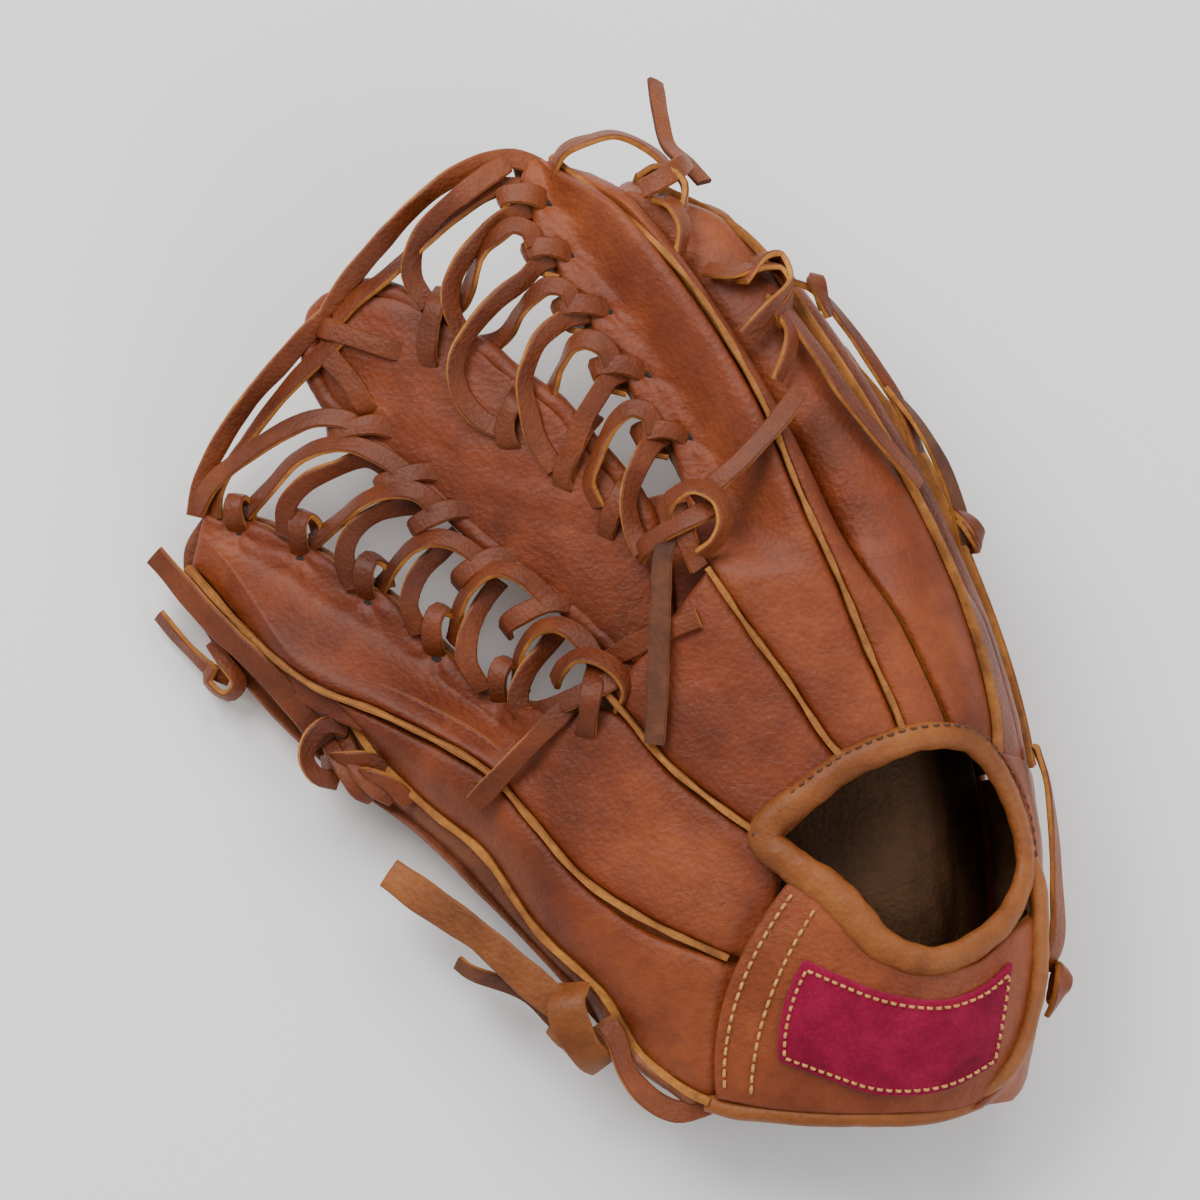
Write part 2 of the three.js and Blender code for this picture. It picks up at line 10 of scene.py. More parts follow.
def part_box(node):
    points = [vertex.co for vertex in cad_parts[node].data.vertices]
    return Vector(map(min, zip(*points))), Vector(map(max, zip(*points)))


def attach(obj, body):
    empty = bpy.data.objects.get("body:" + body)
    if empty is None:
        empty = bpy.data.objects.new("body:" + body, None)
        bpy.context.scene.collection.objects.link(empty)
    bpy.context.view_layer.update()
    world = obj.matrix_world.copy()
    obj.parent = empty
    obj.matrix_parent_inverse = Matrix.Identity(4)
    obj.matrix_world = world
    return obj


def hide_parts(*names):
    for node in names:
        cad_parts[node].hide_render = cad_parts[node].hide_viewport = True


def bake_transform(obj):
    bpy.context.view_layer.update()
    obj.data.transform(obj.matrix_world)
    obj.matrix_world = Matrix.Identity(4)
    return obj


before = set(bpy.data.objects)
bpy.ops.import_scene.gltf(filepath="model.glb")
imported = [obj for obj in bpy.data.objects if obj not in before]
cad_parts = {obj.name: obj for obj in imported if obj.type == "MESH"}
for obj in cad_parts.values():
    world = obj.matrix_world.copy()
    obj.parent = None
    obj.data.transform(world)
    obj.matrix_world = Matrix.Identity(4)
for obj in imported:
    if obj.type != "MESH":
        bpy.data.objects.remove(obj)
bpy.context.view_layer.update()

# ---- the sheet that the leather is laid out on, in millimetres as in the CAD ------------------
MM = 0.001
ROLL_RADIUS, ROLL_ANGLE = 45.0, 1.5
CREST_AT_HEEL, CREST_BEND = 19.0, 500.0
THUMB_SLOPE, THUMB_BEND = 0.35, 60.0
WAY_UP = Vector((0.133, 0.197, 1)).normalized()
TURN = np.array(WAY_UP.rotation_difference(Vector((0, 0, 1))).to_matrix())
CREST_HIGH_AT = 50
TIPS_FALL_FROM, TIPS_FALL_BEND = 140, 800
HEEL_FALLS_BELOW, HEEL_FALL_BEND = 60, 240
FLANGE, CREASE = 13.0, 13.0
SHELL_AT_EDGE, SHELL_IN_FINGERS, SHELL_IN_THUMB, SHELL_IN_PALM = 17.2, 26.0, 27, 32.5
LINING_IN_FINGERS, LINING_IN_THUMB, LINING_IN_PALM = 22.5, 22, 25.0
LACE_WIDTH, LACE_THICK = 5.9, 1.9
LACE_CREASE = math.radians(30)


def smooth(lo, hi, v):
    t = np.clip((np.asarray(v, float) - lo) / (hi - lo), 0, 1)
    return t * t * (3 - 2 * t)


def crest_x(y):
    return CREST_AT_HEEL - (y - CREST_HIGH_AT) ** 2 / CREST_BEND


def sheet(a, y):
    angle = np.clip(a / ROLL_RADIUS, 0, ROLL_ANGLE)
    flat = np.minimum(a, 0)
    wall = np.maximum(a - ROLL_RADIUS * ROLL_ANGLE, 0)
    across = flat + ROLL_RADIUS * np.sin(angle) + wall * math.cos(ROLL_ANGLE)
    roll = ROLL_RADIUS * (1 - np.cos(angle)) + wall * math.sin(ROLL_ANGLE)
    fall = THUMB_SLOPE * (np.hypot(flat, THUMB_BEND) - THUMB_BEND)
    fall = fall + np.maximum(0, y - TIPS_FALL_FROM) ** 2 / TIPS_FALL_BEND
    fall = fall + np.maximum(0, HEEL_FALLS_BELOW - y) ** 2 / HEEL_FALL_BEND
    return np.stack([crest_x(y) + across, y, -roll - fall], -1)


def unit(v):
    return v / np.maximum(np.linalg.norm(v, axis=-1, keepdims=True), 1e-12)


def normal_at(a, y):
    along_a = sheet(a + 0.5, y) - sheet(a - 0.5, y)
    along_y = sheet(a, y + 0.5) - sheet(a, y - 0.5)
    return unit(np.cross(along_a, along_y))


def bare_place(p):
    p = np.asarray(p, float)
    a, y, n = p[..., 0], p[..., 1], p[..., 2]
    return (sheet(a, y) + normal_at(a, y) * n[..., None]) @ TURN.T


def seen(x, y, n=0.0):
    across = x - crest_x(y)
    return [across if across < 0 else ROLL_RADIUS * math.asin(min(1, across / ROLL_RADIUS)), y, n]


def seen_all(points):
    return [seen(*p) for p in points]


# The CAD's knot at the root of the index finger says where the sheet lies in the row frame
KNOT_MIDDLE = (-37, 170, 1)
knot_low, knot_high = (np.array(c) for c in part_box("index_base_knot"))
ORIGIN = (knot_low + knot_high) / 2 / MM - bare_place(seen(*KNOT_MIDDLE))


def place(p):
    return (bare_place(p) + ORIGIN) * MM


def with_heights(points):
    return [list(q) + [0.0] * (3 - len(q)) for q in points]


def route(points, closed=False, fine=24):
    """A centripetal Catmull-Rom curve through the points, as a function of the share of its length."""
    p = np.array(with_heights(points), float)
    if closed:
        p = np.vstack([p[-1], p, p[0], p[1]])
    else:
        p = np.vstack([2 * p[0] - p[1], p, 2 * p[-1] - p[-2]])
    out = []
    for p0, p1, p2, p3 in zip(p[:-3], p[1:-2], p[2:-1], p[3:]):
        pairs = ((p0, p1), (p1, p2), (p2, p3))
        d0, d1, d2 = (max(np.linalg.norm(b - a) ** 0.5, 1e-4) for a, b in pairs)
        t1 = ((p1 - p0) / d0 - (p2 - p0) / (d0 + d1) + (p2 - p1) / d1) * d1
        t2 = ((p2 - p1) / d1 - (p3 - p1) / (d1 + d2) + (p3 - p2) / d2) * d1
        s = np.linspace(0, 1, fine, endpoint=False)[:, None]
        bend = 3 * (p2 - p1) - 2 * t1 - t2
        out.append(p1 + t1 * s + bend * s**2 + (2 * (p1 - p2) + t1 + t2) * s**3)
    out = np.vstack(out + [p[-2][None]])
    along = np.concatenate([[0], np.cumsum(np.linalg.norm(np.diff(out, axis=0), axis=1))])
    along /= along[-1]
    return lambda u: np.stack([np.interp(u, along, out[:, k]) for k in range(3)], -1)


# A gentle unevenness that is the same each run: a sum of sine waves that run in many directions
WAVES = np.random.default_rng(7).uniform(-1, 1, (40, 4))
WAVES_IN_A_RIPPLE = 6


def ripple(a, y, size, seed=0):
    total = 0
    for k in range(WAVES_IN_A_RIPPLE):
        wx, wy, phase, gain = WAVES[(seed * 5 + k * 7) % len(WAVES)]
        reach = 0.6 + 0.9 * abs(gain)
        turn = wx * math.pi
        total = total + np.sin(reach * (a * math.cos(turn) + y * math.sin(turn)) * 2 * math.pi / size
                               + phase * 9 + 1.7 * np.sin(y / size * 1.9 + wy * 8))
    return total / WAVES_IN_A_RIPPLE


# ---- materials -------------------------------------------------------------------------------


class Shader:
    def __init__(self, name):
        self.mat = bpy.data.materials.new(name)
        self.mat.use_nodes = True
        self.nodes, self.links = self.mat.node_tree.nodes, self.mat.node_tree.links
        self.bsdf = next(n for n in self.nodes if n.type == "BSDF_PRINCIPLED")
        self.place = self.nodes.new("ShaderNodeTexCoord").outputs["Object"]

    def noise(self, scale, detail, rough, stretch=None):
        n = self.nodes.new("ShaderNodeTexNoise")
        n.inputs["Scale"].default_value = scale
        n.inputs["Detail"].default_value = detail
        n.inputs["Roughness"].default_value = rough
        self.links.new(self.stretched(stretch), n.inputs["Vector"])
        return n.outputs["Fac"]

    def stretched(self, stretch):
        if stretch is None:
            return self.place
        m = self.nodes.new("ShaderNodeMapping")
        m.inputs["Scale"].default_value = stretch
        self.links.new(self.place, m.inputs["Vector"])
        return m.outputs["Vector"]

    def cells(self, scale):
        n = self.nodes.new("ShaderNodeTexVoronoi")
        n.inputs["Scale"].default_value = scale
        self.links.new(self.place, n.inputs["Vector"])
        return n.outputs["Distance"]

    def ramp(self, value, stops):
        n = self.nodes.new("ShaderNodeValToRGB")
        while len(n.color_ramp.elements) < len(stops):
            n.color_ramp.elements.new(0.5)
        for element, (at, colour) in zip(n.color_ramp.elements, stops):
            element.position = at
            element.color = (*colour, 1)
        self.links.new(value, n.inputs["Fac"])
        return n.outputs["Color"]

    def feed(self, socket, value):
        """A socket takes another node's output, a number or a colour."""
        if hasattr(value, "is_linked"):
            self.links.new(value, socket)
        else:
            socket.default_value = (*value, 1) if isinstance(value, tuple) else value

    def mix(self, factor, a, b, mode="MIX"):
        n = self.nodes.new("ShaderNodeMix")
        n.data_type, n.blend_type = "RGBA", mode
        for value, socket in ((factor, 0), (a, 6), (b, 7)):
            self.feed(n.inputs[socket], value)
        return n.outputs[2]

    def maths(self, operation, a, b):
        n = self.nodes.new("ShaderNodeMath")
        n.operation = operation
        for value, socket in ((a, 0), (b, 1)):
            self.feed(n.inputs[socket], value)
        return n.outputs[0]

    def between(self, value, low, high):
        n = self.nodes.new("ShaderNodeMapRange")
        n.inputs["To Min"].default_value = low
        n.inputs["To Max"].default_value = high
        self.links.new(value, n.inputs["Value"])
        return n.outputs["Result"]

    def finish(self, colour, rough, height, strength, depth):
        self.links.new(colour, self.bsdf.inputs["Base Color"])
        self.links.new(rough, self.bsdf.inputs["Roughness"])
        bump = self.nodes.new("ShaderNodeBump")
        bump.inputs["Strength"].default_value = strength
        bump.inputs["Distance"].default_value = depth
        self.links.new(height, bump.inputs["Height"])
        self.links.new(bump.outputs["Normal"], self.bsdf.inputs["Normal"])
        return self.mat


def leather(name, dark, mid, light, rough=(0.36, 0.6), grain=620, coat=0.10, creases=1.0):
    s = Shader(name)
    colour = s.ramp(s.noise(11, 5, 0.62), [(0.30, dark), (0.5, mid), (0.72, light)])
    mottle = s.ramp(s.noise(42, 6, 0.7), [
        (0.3, (0.70, 0.62, 0.58)), (0.55, (1.0, 1.0, 1.0)), (0.75, (1.22, 1.2, 1.15))])
    colour = s.mix(0.75, colour, mottle, "MULTIPLY")
    flecks = s.ramp(s.noise(240, 5, 0.75), [(0.3, (0.66, 0.6, 0.56)), (0.62, (1.05, 1.03, 1.0))])
    colour = s.mix(0.5, colour, flecks, "MULTIPLY")
    # Thin crease lines run through the grain: the bump sinks them, and the colour is painted darker along
    # them as painted shade in the creases
    ridge = s.maths("ABSOLUTE", s.maths("SUBTRACT", s.noise(48, 5, 0.55, (1.0, 2.4, 1.0)), 0.5), 0.0)
    line = s.ramp(ridge, [(0.0, (0, 0, 0)), (0.022, (1, 1, 1))])
    colour = s.mix(s.between(line, 0.10 * creases, 0.0), colour, tuple(c * 0.5 for c in dark))
    pores = s.maths("MULTIPLY", s.cells(grain), 0.5)
    height = s.maths("ADD", pores, s.maths("MULTIPLY", s.noise(190, 7, 0.72), 0.9))
    height = s.maths("ADD", height, s.maths("MULTIPLY", line, 0.16 * creases))
    s.bsdf.inputs["Specular IOR Level"].default_value = 0.28
    s.bsdf.inputs["Coat Weight"].default_value = coat
    s.bsdf.inputs["Coat Roughness"].default_value = 0.4
    return s.finish(colour, s.between(s.noise(30, 5, 0.65), *rough), height, 0.55, 0.0008)


def raw_leather(name, dark, mid, light):
    s = Shader(name)
    fibres = s.noise(620, 4, 0.75)
    colour = s.ramp(s.noise(70, 5, 0.7), [(0.3, dark), (0.52, mid), (0.72, light)])
    streaks = s.ramp(fibres, [(0.35, (0.6, 0.55, 0.5)), (0.65, (1.1, 1.05, 1.0))])
    colour = s.mix(0.5, colour, streaks, "MULTIPLY")
    return s.finish(colour, s.between(fibres, 0.68, 0.9), fibres, 0.6, 0.0006)


def suede(name, dark, mid, light):
    s = Shader(name)
    nap = s.noise(900, 3, 0.7)
    colour = s.ramp(s.noise(45, 6, 0.7), [(0.3, dark), (0.5, mid), (0.72, light)])
    colour = s.mix(0.6, colour, s.ramp(nap, [(0.3, (0.62, 0.6, 0.62)), (0.7, (1.2, 1.15, 1.15))]),
                   "MULTIPLY")
    s.bsdf.inputs["Sheen Weight"].default_value = 0.08
    s.bsdf.inputs["Specular IOR Level"].default_value = 0.15
    s.bsdf.inputs["Sheen Roughness"].default_value = 0.5
    return s.finish(colour, s.between(nap, 0.8, 0.96), nap, 0.55, 0.0006)


def fibrous(name, dark, light, grain, rough, strength, depth):
    s = Shader(name)
    strands = s.noise(*grain)
    colour = s.ramp(strands, [(0.35, dark), (0.65, light)])
    return s.finish(colour, s.between(strands, *rough), strands, strength, depth)


def thread(name, dark, light):
    return fibrous(name, dark, light, (1500, 2, 0.6), (0.45, 0.65), 0.5, 0.0003)


def felt_cloth(name, dark, light):
    return fibrous(name, dark, light, (700, 6, 0.8), (0.85, 0.98), 0.7, 0.001)


SHELL = leather("shell_leather_look", (0.09, 0.014, 0.003), (0.20, 0.040, 0.010), (0.34, 0.085, 0.023))
PALM = leather("palm_leather_look", (0.10, 0.026, 0.011), (0.20, 0.062, 0.027), (0.31, 0.115, 0.055))
# The lining is painted almost black: painted shade deep inside the glove, not the lining leather's own tone
SHADE_PAINTED_INSIDE = leather("lining_leather_painted_shade_look", (0.018, 0.006, 0.0015), (0.042, 0.016, 0.004), (0.075, 0.031, 0.008),
                (0.6, 0.8), coat=0)
BINDING = leather("binding_leather_look", (0.12, 0.032, 0.006), (0.25, 0.074, 0.014), (0.38, 0.128, 0.030),
                  (0.4, 0.6), creases=0.6)
LACE = leather("lace_leather_look", (0.085, 0.015, 0.0035), (0.17, 0.037, 0.009), (0.28, 0.075, 0.021),
               grain=800, creases=0.3)
FLESH = raw_leather("flesh_side_look", (0.055, 0.014, 0.004), (0.11, 0.031, 0.009), (0.17, 0.056, 0.018))
EDGE = raw_leather("raw_edge_look", (0.20, 0.062, 0.010), (0.42, 0.155, 0.022), (0.62, 0.27, 0.05))
WELT = raw_leather("welt_look", (0.16, 0.05, 0.009), (0.33, 0.118, 0.018), (0.52, 0.21, 0.04))
BACKING = raw_leather("leather_back_look", (0.09, 0.035, 0.012), (0.17, 0.07, 0.026), (0.25, 0.12, 0.05))
PATCH = suede("patch_suede_look", (0.13, 0.002, 0.018), (0.24, 0.004, 0.034), (0.34, 0.010, 0.055))
THREAD = thread("thread_look", (0.36, 0.15, 0.035), (0.72, 0.38, 0.11))
FELT = felt_cloth("felt_look", (0.16, 0.12, 0.075), (0.28, 0.22, 0.15))
SEWN = thread("sewn_thread_look", (0.05, 0.018, 0.008), (0.13, 0.05, 0.02))
HOLE = raw_leather("lace_hole_look", (0.012, 0.004, 0.001), (0.02, 0.006, 0.002), (0.03, 0.01, 0.003))
# All three faces of a lining take that painted-shade look
SHADE_PAINTED_LINER_MATS = [SHADE_PAINTED_INSIDE, SHADE_PAINTED_INSIDE, SHADE_PAINTED_INSIDE]

# ---- mesh making -----------------------------------------------------------------------------


def make(name, verts, faces, mats, which, body, node=(), crisp=math.pi):
    """One mesh object with a material for each face. Its edges are sharp where two materials meet, or where
    the faces turn more than crisp."""
    mesh = bpy.data.meshes.new(name)
    mesh.from_pydata([tuple(v) for v in verts], [], faces)
    for m in mats:
        mesh.materials.append(m)
    mesh.polygons.foreach_set("material_index", which)
    bm = bmesh.new()
    bm.from_mesh(mesh)
    bmesh.ops.dissolve_degenerate(bm, dist=1e-6, edges=bm.edges)
    bmesh.ops.recalc_face_normals(bm, faces=bm.faces)
    for f in bm.faces:
        f.smooth = True
    for e in bm.edges:
        if len(e.link_faces) == 2:
            same = e.link_faces[0].material_index == e.link_faces[1].material_index
            e.smooth = same and e.calc_face_angle(0) < crisp
    bm.to_mesh(mesh)
    bm.free()
    obj = bpy.data.objects.new(name, mesh)
    bpy.context.scene.collection.objects.link(obj)
    if isinstance(body, str):
        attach(obj, body)
    else:
        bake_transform(obj)
    for n in ([node] if isinstance(node, str) else node):
        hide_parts(n)
    return obj


NEAR_AN_EDGE = (0.35, 0.9, 1.8, 3.2)


def shares(count, length):
    """Places from 0 to 1, with extra ones close to both ends for a rounded edge."""
    edge = [d / length for d in NEAR_AN_EDGE if d / length < 0.3]
    middle = np.linspace(edge[-1], 1 - edge[-1], count)
    return np.array([0.0, *edge[:-1], *middle, *(1 - np.array(edge[:-1]))[::-1], 1.0])


def grid_of(p, e, t):
    """A grid of places as a, y, the share across and the share along."""
    return p[..., 0], p[..., 1], np.broadcast_to(e, p.shape[:2]), np.broadcast_to(t, p.shape[:2])


def ruled(left, right, rows, cols, gap):
    """Places between two long edges, with a gap left beside each."""
    left, right = route(left), route(right)
    t = shares(rows, 150)
    left, right = left(t)[:, None, :], right(t)[:, None, :]
    width = np.linalg.norm(right - left, axis=-1)
    e = shares(cols, float(np.median(width)))[None, :]
    inset = np.minimum(0.4, gap / width)
    share = inset + e * (1 - 2 * inset)
    p = left + (right - left) * share[..., None]
    return grid_of(p, e, t[:, None])


def four_sided(heel, tips, left, right, rows, cols):
    """Places inside four edges, which may all be curved."""
    t, e = shares(rows, 150), shares(cols, 120)
    heel, tips, left, right = (route(q) for q in (heel, tips, left, right))
    up, over = t[:, None, None], e[None, :, None]
    p = heel(e)[None] * (1 - up) + tips(e)[None] * up
    p = p + left(t)[:, None] * (1 - over) + right(t)[:, None] * over
    p = p - ((heel(0.0) * (1 - over) + heel(1.0) * over) * (1 - up)
             + (tips(0.0) * (1 - over) + tips(1.0) * over) * up)
    return grid_of(p, e[None], t[:, None])


def edge_distance(places):
    """How far each point of a grid of places is from the grid's edge, along its rows and columns."""
    rows, cols = places.shape[:2]
    across = np.cumsum(np.linalg.norm(np.diff(places, axis=1), axis=-1), 1)
    across = np.concatenate([np.zeros((rows, 1)), across], 1)
    along = np.cumsum(np.linalg.norm(np.diff(places, axis=0), axis=-1), 0)
    along = np.concatenate([np.zeros((1, cols)), along], 0)
    return np.minimum(across, across[:, -1:] - across), np.minimum(along, along[-1:] - along)


# How far from a seam the waves are calm, how far its tuck reaches, and a scallop's spread, squared
CALM_REACH, TUCK_REACH, SCALLOP_SPREAD = 9, 1.9, 30
# The dimple that a lace pulls at its hole, and the folds round it
DIMPLE_DEPTH, DIMPLE_RADIUS = 1.5, 3.0
PUCKER_HEIGHT, PUCKER_RADIUS, PUCKER_FOLDS = 0.45, 8.5, 5
FINE_WAVES, FINER = 0.25, 3.1


def shell(name, grid, depth, slot, body, node=(), thick=3.0, mats=None, tuck=1.2, round_off=1.2,
          waves=(0.5, 34), seed=1, pulls=(), scallops=()):
    """A piece of leather over a grid of places, with rounded edges, a tuck at its seams and gentle waves.
    The laces pull it down in dimples at their holes, and draw its edge in where they cross it."""
    A, Y, E, T = grid
    D = depth(E, T, A, Y)
    for a, y, da, dy in scallops:
        near = np.exp(-((A - a) ** 2 + (Y - y) ** 2) / SCALLOP_SPREAD)
        A, Y = A + da * near, Y + dy * near
    mats = mats or [SHELL, BACKING, EDGE]
    across, along = edge_distance(sheet(A, Y))
    d = np.minimum(across, along)
    calm = smooth(0, CALM_REACH, d)
    high, long = waves
    broad = high * ripple(A, Y, long, seed) * calm
    sunk = tuck * np.exp(-d / TUCK_REACH)
    up = broad + FINE_WAVES * high * ripple(A, Y, long / FINER, seed + 3) * calm - sunk
    for k, (a, y) in enumerate(pulls):
        r = np.hypot(A - a, Y - y)
        pucker = np.cos(PUCKER_FOLDS * np.arctan2(Y - y, A - a) + k * 1.7) * smooth(1, 5, r)
        up = up - DIMPLE_DEPTH * np.exp(-(r / DIMPLE_RADIUS) ** 2)
        up = up + PUCKER_HEIGHT * np.exp(-(r / PUCKER_RADIUS) ** 2) * pucker
    near = np.clip(1 - d / round_off, 0, 1)
    up = up - round_off * (1 - np.sqrt(1 - near**2))
    top = place(np.stack([A, Y, -D + up], -1))
    low = place(np.stack([A, Y, -D - thick + broad - sunk], -1))
    rows, cols = A.shape
    verts = np.vstack([top.reshape(-1, 3), low.reshape(-1, 3)])
    n = rows * cols
    idx = np.arange(n).reshape(rows, cols)
    faces, which = [], []
    for i in range(rows - 1):
        for j in range(cols - 1):
            q = (idx[i, j], idx[i, j + 1], idx[i + 1, j + 1], idx[i + 1, j])
            faces.append(tuple(int(v) for v in q))
            which.append(0)
            faces.append(tuple(int(v) + n for v in q[::-1]))
            which.append(1)
    rim = [*idx[0, :], *idx[1:, -1], *idx[-1, -2::-1], *idx[-2:0:-1, 0]]
    for a, b in zip(rim, rim[1:] + rim[:1]):
        faces.append((int(b), int(a), int(a) + n, int(b) + n))
        which.append(2)
    return make(name, verts, faces, mats, which, body, node)


LOOK_AHEAD = 0.004


def frames_along(points, steps, closed=False, twist=0.0):
    """Centres, side and up directions along a route of [a, y, n] places, in the row frame. The side starts
    flat on the sheet, where an open route's middle half is most level, and is carried both ways without
    turning, so a lace can double back."""
    line = route(points, closed)
    u = np.linspace(0, 1, steps + 1)
    flat = line(u)
    centre = place(flat)
    on, back = (np.mod(v, 1) if closed else np.clip(v, 0, 1) for v in (u + LOOK_AHEAD, u - LOOK_AHEAD))
    ahead = unit(place(line(on)) - place(line(back)))
    normal = normal_at(flat[:, 0], flat[:, 1]) @ TURN.T
    side = unit(np.cross(ahead, normal))
    if not closed:
        level = np.abs(np.sum(ahead * normal, -1))[steps // 4:steps * 3 // 4 + 1]
        flattest = steps // 4 + int(np.argmin(level))
        for i in range(flattest + 1, steps + 1):
            side[i] = unit(side[i - 1] - ahead[i] * np.dot(side[i - 1], ahead[i]))
        for i in range(flattest - 1, -1, -1):
            side[i] = unit(side[i + 1] - ahead[i] * np.dot(side[i + 1], ahead[i]))
    up = np.cross(side, ahead)
    if np.ndim(twist) or twist:
        turn = twist * u if not np.ndim(twist) else np.interp(u, np.linspace(0, 1, len(twist)), twist)
        c, s = np.cos(turn)[:, None], np.sin(turn)[:, None]
        side, up = side * c + up * s, up * c - side * s
    return centre, side, up, u


def tube_mesh(rings, closed):
    """Vertices and faces of a tube from its rings of points; the section index comes with each face."""
    k, m = rings.shape[:2]
    verts = rings.reshape(-1, 3)
    faces, part = [], []
    last = k if closed else k - 1
    for i in range(last):
        for j in range(m):
            a, b = i * m + j, i * m + (j + 1) % m
            c, d = ((i + 1) % k) * m + (j + 1) % m, ((i + 1) % k) * m + j
            faces.append((a, b, c, d))
            part.append(j)
    if not closed:
        faces.append(tuple(range(m))[::-1])
        part.append(-1)
        faces.append(tuple((k - 1) * m + j for j in range(m)))
        part.append(-1)
    return verts, faces, part


# A lace's section, as shares of its width and thickness, and the faces of it that show a raw edge
LACE_SECTION = [(-0.5, -0.28), (-0.46, -0.5), (0.46, -0.5), (0.5, -0.28), (0.5, 0.22), (0.43, 0.46),
                (0, 0.54), (-0.43, 0.46), (-0.5, 0.22)]
RAW_FACES = (-1, 0, 2, 3, 8)
LACE_STEP = 1.6


def length_of(places):
    return np.linalg.norm(np.diff(places, axis=0), axis=1).sum()


def add_tube(verts, faces, rings):
    """Adds a tube with closed ends to a growing list of vertices and faces."""
    more, tube, _ = tube_mesh(np.array(rings), False)
    faces.extend(tuple(k + len(verts) for k in face) for face in tube)
    verts.extend(more)


def lace(name, points, body, node=(), steps=None, width=LACE_WIDTH, thick=LACE_THICK, twist=0.0, mats=None,
         slot="rawhide_lace", seed=0, rough_edge=0.05, free_from=None):
    """A rawhide strip: a flat lace with soft corners, brown faces and golden edges. For a loose end,
    free_from says which end of its route, 0 or -1, leaves its knot. The free_from argument is not used."""
    length = length_of(place(with_heights(points))) / MM
    steps = steps or max(10, int(length / LACE_STEP))
    centre, side, up, u = frames_along(points, steps, twist=twist)
    w = width * (1 + 0.05 * np.sin(u * 9 + seed * 2.1)
                 + rough_edge * (np.sin(u * length / 5.1 + seed) + np.sin(u * length / 2.3 + 2 * seed)) / 2)
    h = thick * (1 + 0.08 * np.sin(u * 13 + seed))
    cup = 0.10 * np.sin(u * 7 + seed)
    rings = np.stack([centre + side * (sx * w * MM)[:, None]
                      + up * ((sz * h + cup * (sx * sx * 4) * h) * MM)[:, None] for sx, sz in LACE_SECTION],
                     1)
    verts, faces, part = tube_mesh(rings, False)
    which = [int(p in RAW_FACES) for p in part]
    obj = make(name, verts, faces, mats or [LACE, EDGE], which, body, node, crisp=LACE_CREASE)
    return obj


ROLL_SIDES = 14


def roll(name, points, radius, body, node=(), slot="binding_leather", *, closed=False, steps, mat=None,
         flat=0.85, pucker, pitch):
    """A rolled leather edge, puckered across as a tight binding is. Its radius may be a list along it."""
    centre, side, up, u = frames_along(points, steps, closed)
    if closed:
        centre, side, up, u = centre[:-1], side[:-1], up[:-1], u[:-1]
    if np.ndim(radius):
        radius = np.interp(u, np.linspace(0, 1, len(radius)), radius)
    folds = round(length_of(centre) / MM / pitch)
    rings = []
    for k in np.linspace(0, 2 * math.pi, ROLL_SIDES, endpoint=False):
        swell = 1 + pucker * 0.16 * np.sin(
            u * folds * 2 * math.pi + 1.3 * math.sin(2 * k) + 2 * np.sin(u * 11))
        swell = swell + 0.05 * np.sin(u * 2 * math.pi * round(folds / 2.7) + k)
        out = side * math.cos(k) + up * (math.sin(k) * flat)
        rings.append(centre + out * (radius * swell * MM)[:, None])
    verts, faces, part = tube_mesh(np.stack(rings, 1), closed)
    return make(name, verts, faces, [mat or BINDING], [0] * len(faces), body, node)


# Along a stitch: how its centre rises from the leather, and its radius, both as shares
STITCH_RISE = np.array([-0.9, 0.1, 0.35, 0.1, -0.9]) * 1.6
STITCH_ROUND = (0.45, 0.95, 1.0, 0.95, 0.45)
STITCH_SIDES = 6


def stitches(name, lines, body, pitch, long, radius, mat=None):
    """Rows of sewn thread, each stitch a short capsule whose ends sink into the leather."""
    verts, faces = [], []
    for line in lines:
        path = route(line)
        length = length_of(place(path(np.linspace(0, 1, 200)))) / MM
        count = max(2, int(length / pitch))
        for i in range(count):
            mid = (i + 0.5) / count
            half = 0.5 * long / length
            u = np.array([mid - half, mid - half * 0.7, mid, mid + half * 0.7, mid + half])
            flat = path(np.clip(u, 0, 1))
            flat[:, 2] += STITCH_RISE * radius
            p = place(flat)
            ahead = unit(p[-1] - p[0])
            normal = normal_at(flat[2, 0], flat[2, 1]) @ TURN.T
            side = unit(np.cross(ahead, normal))
            up = np.cross(side, ahead)
            rings = []
            for q, r in zip(p, STITCH_ROUND):
                turns = [k * math.pi / 3 for k in range(STITCH_SIDES)]
                rings.append([q + (side * math.cos(t) + up * math.sin(t)) * radius * r * MM for t in turns])
            add_tube(verts, faces, rings)
    return make(name, verts, faces, [mat or THREAD], [0] * len(faces), body)


KNOT = [(-1.5, -0.5, 0.0), (-0.7, 0.35, 0.75), (0.15, 0.75, 1.1), (0.75, 0.15, 0.8), (0.4, -0.6, 0.25),
        (-0.35, -0.55, 0.1), (-0.75, 0.1, 0.45), (-0.1, 0.55, 1.25), (0.7, 0.35, 1.35), (1.0, -0.5, 0.7),
        (0.9, -1.2, 0.1)]


def knot(name, at, size, turn, body, node=(), width=4.6, seed=0):
    """A hard-pulled knot: the lace loops over itself."""
    c, s = math.cos(turn), math.sin(turn)
    pts = [[at[0] + (x * c - y * s) * size, at[1] + (x * s + y * c) * size, at[2] + z * size * 0.62]
           for x, y, z in KNOT]
    return lace(name, pts, body, node, steps=70, width=width, thick=2.0, twist=[0, 0.5, -0.4, 0.6, 0.0],
                seed=seed)


# A hole's rings, as shares of its radius with their heights, and how narrow it is along the hand
HOLE_RINGS = ((1.0, -1.2), (1.0, 0.0), (0.6, 0.25))
HOLE_RADIUS, HOLE_SIDES, HOLE_NARROW = 2.1, 12, 0.8


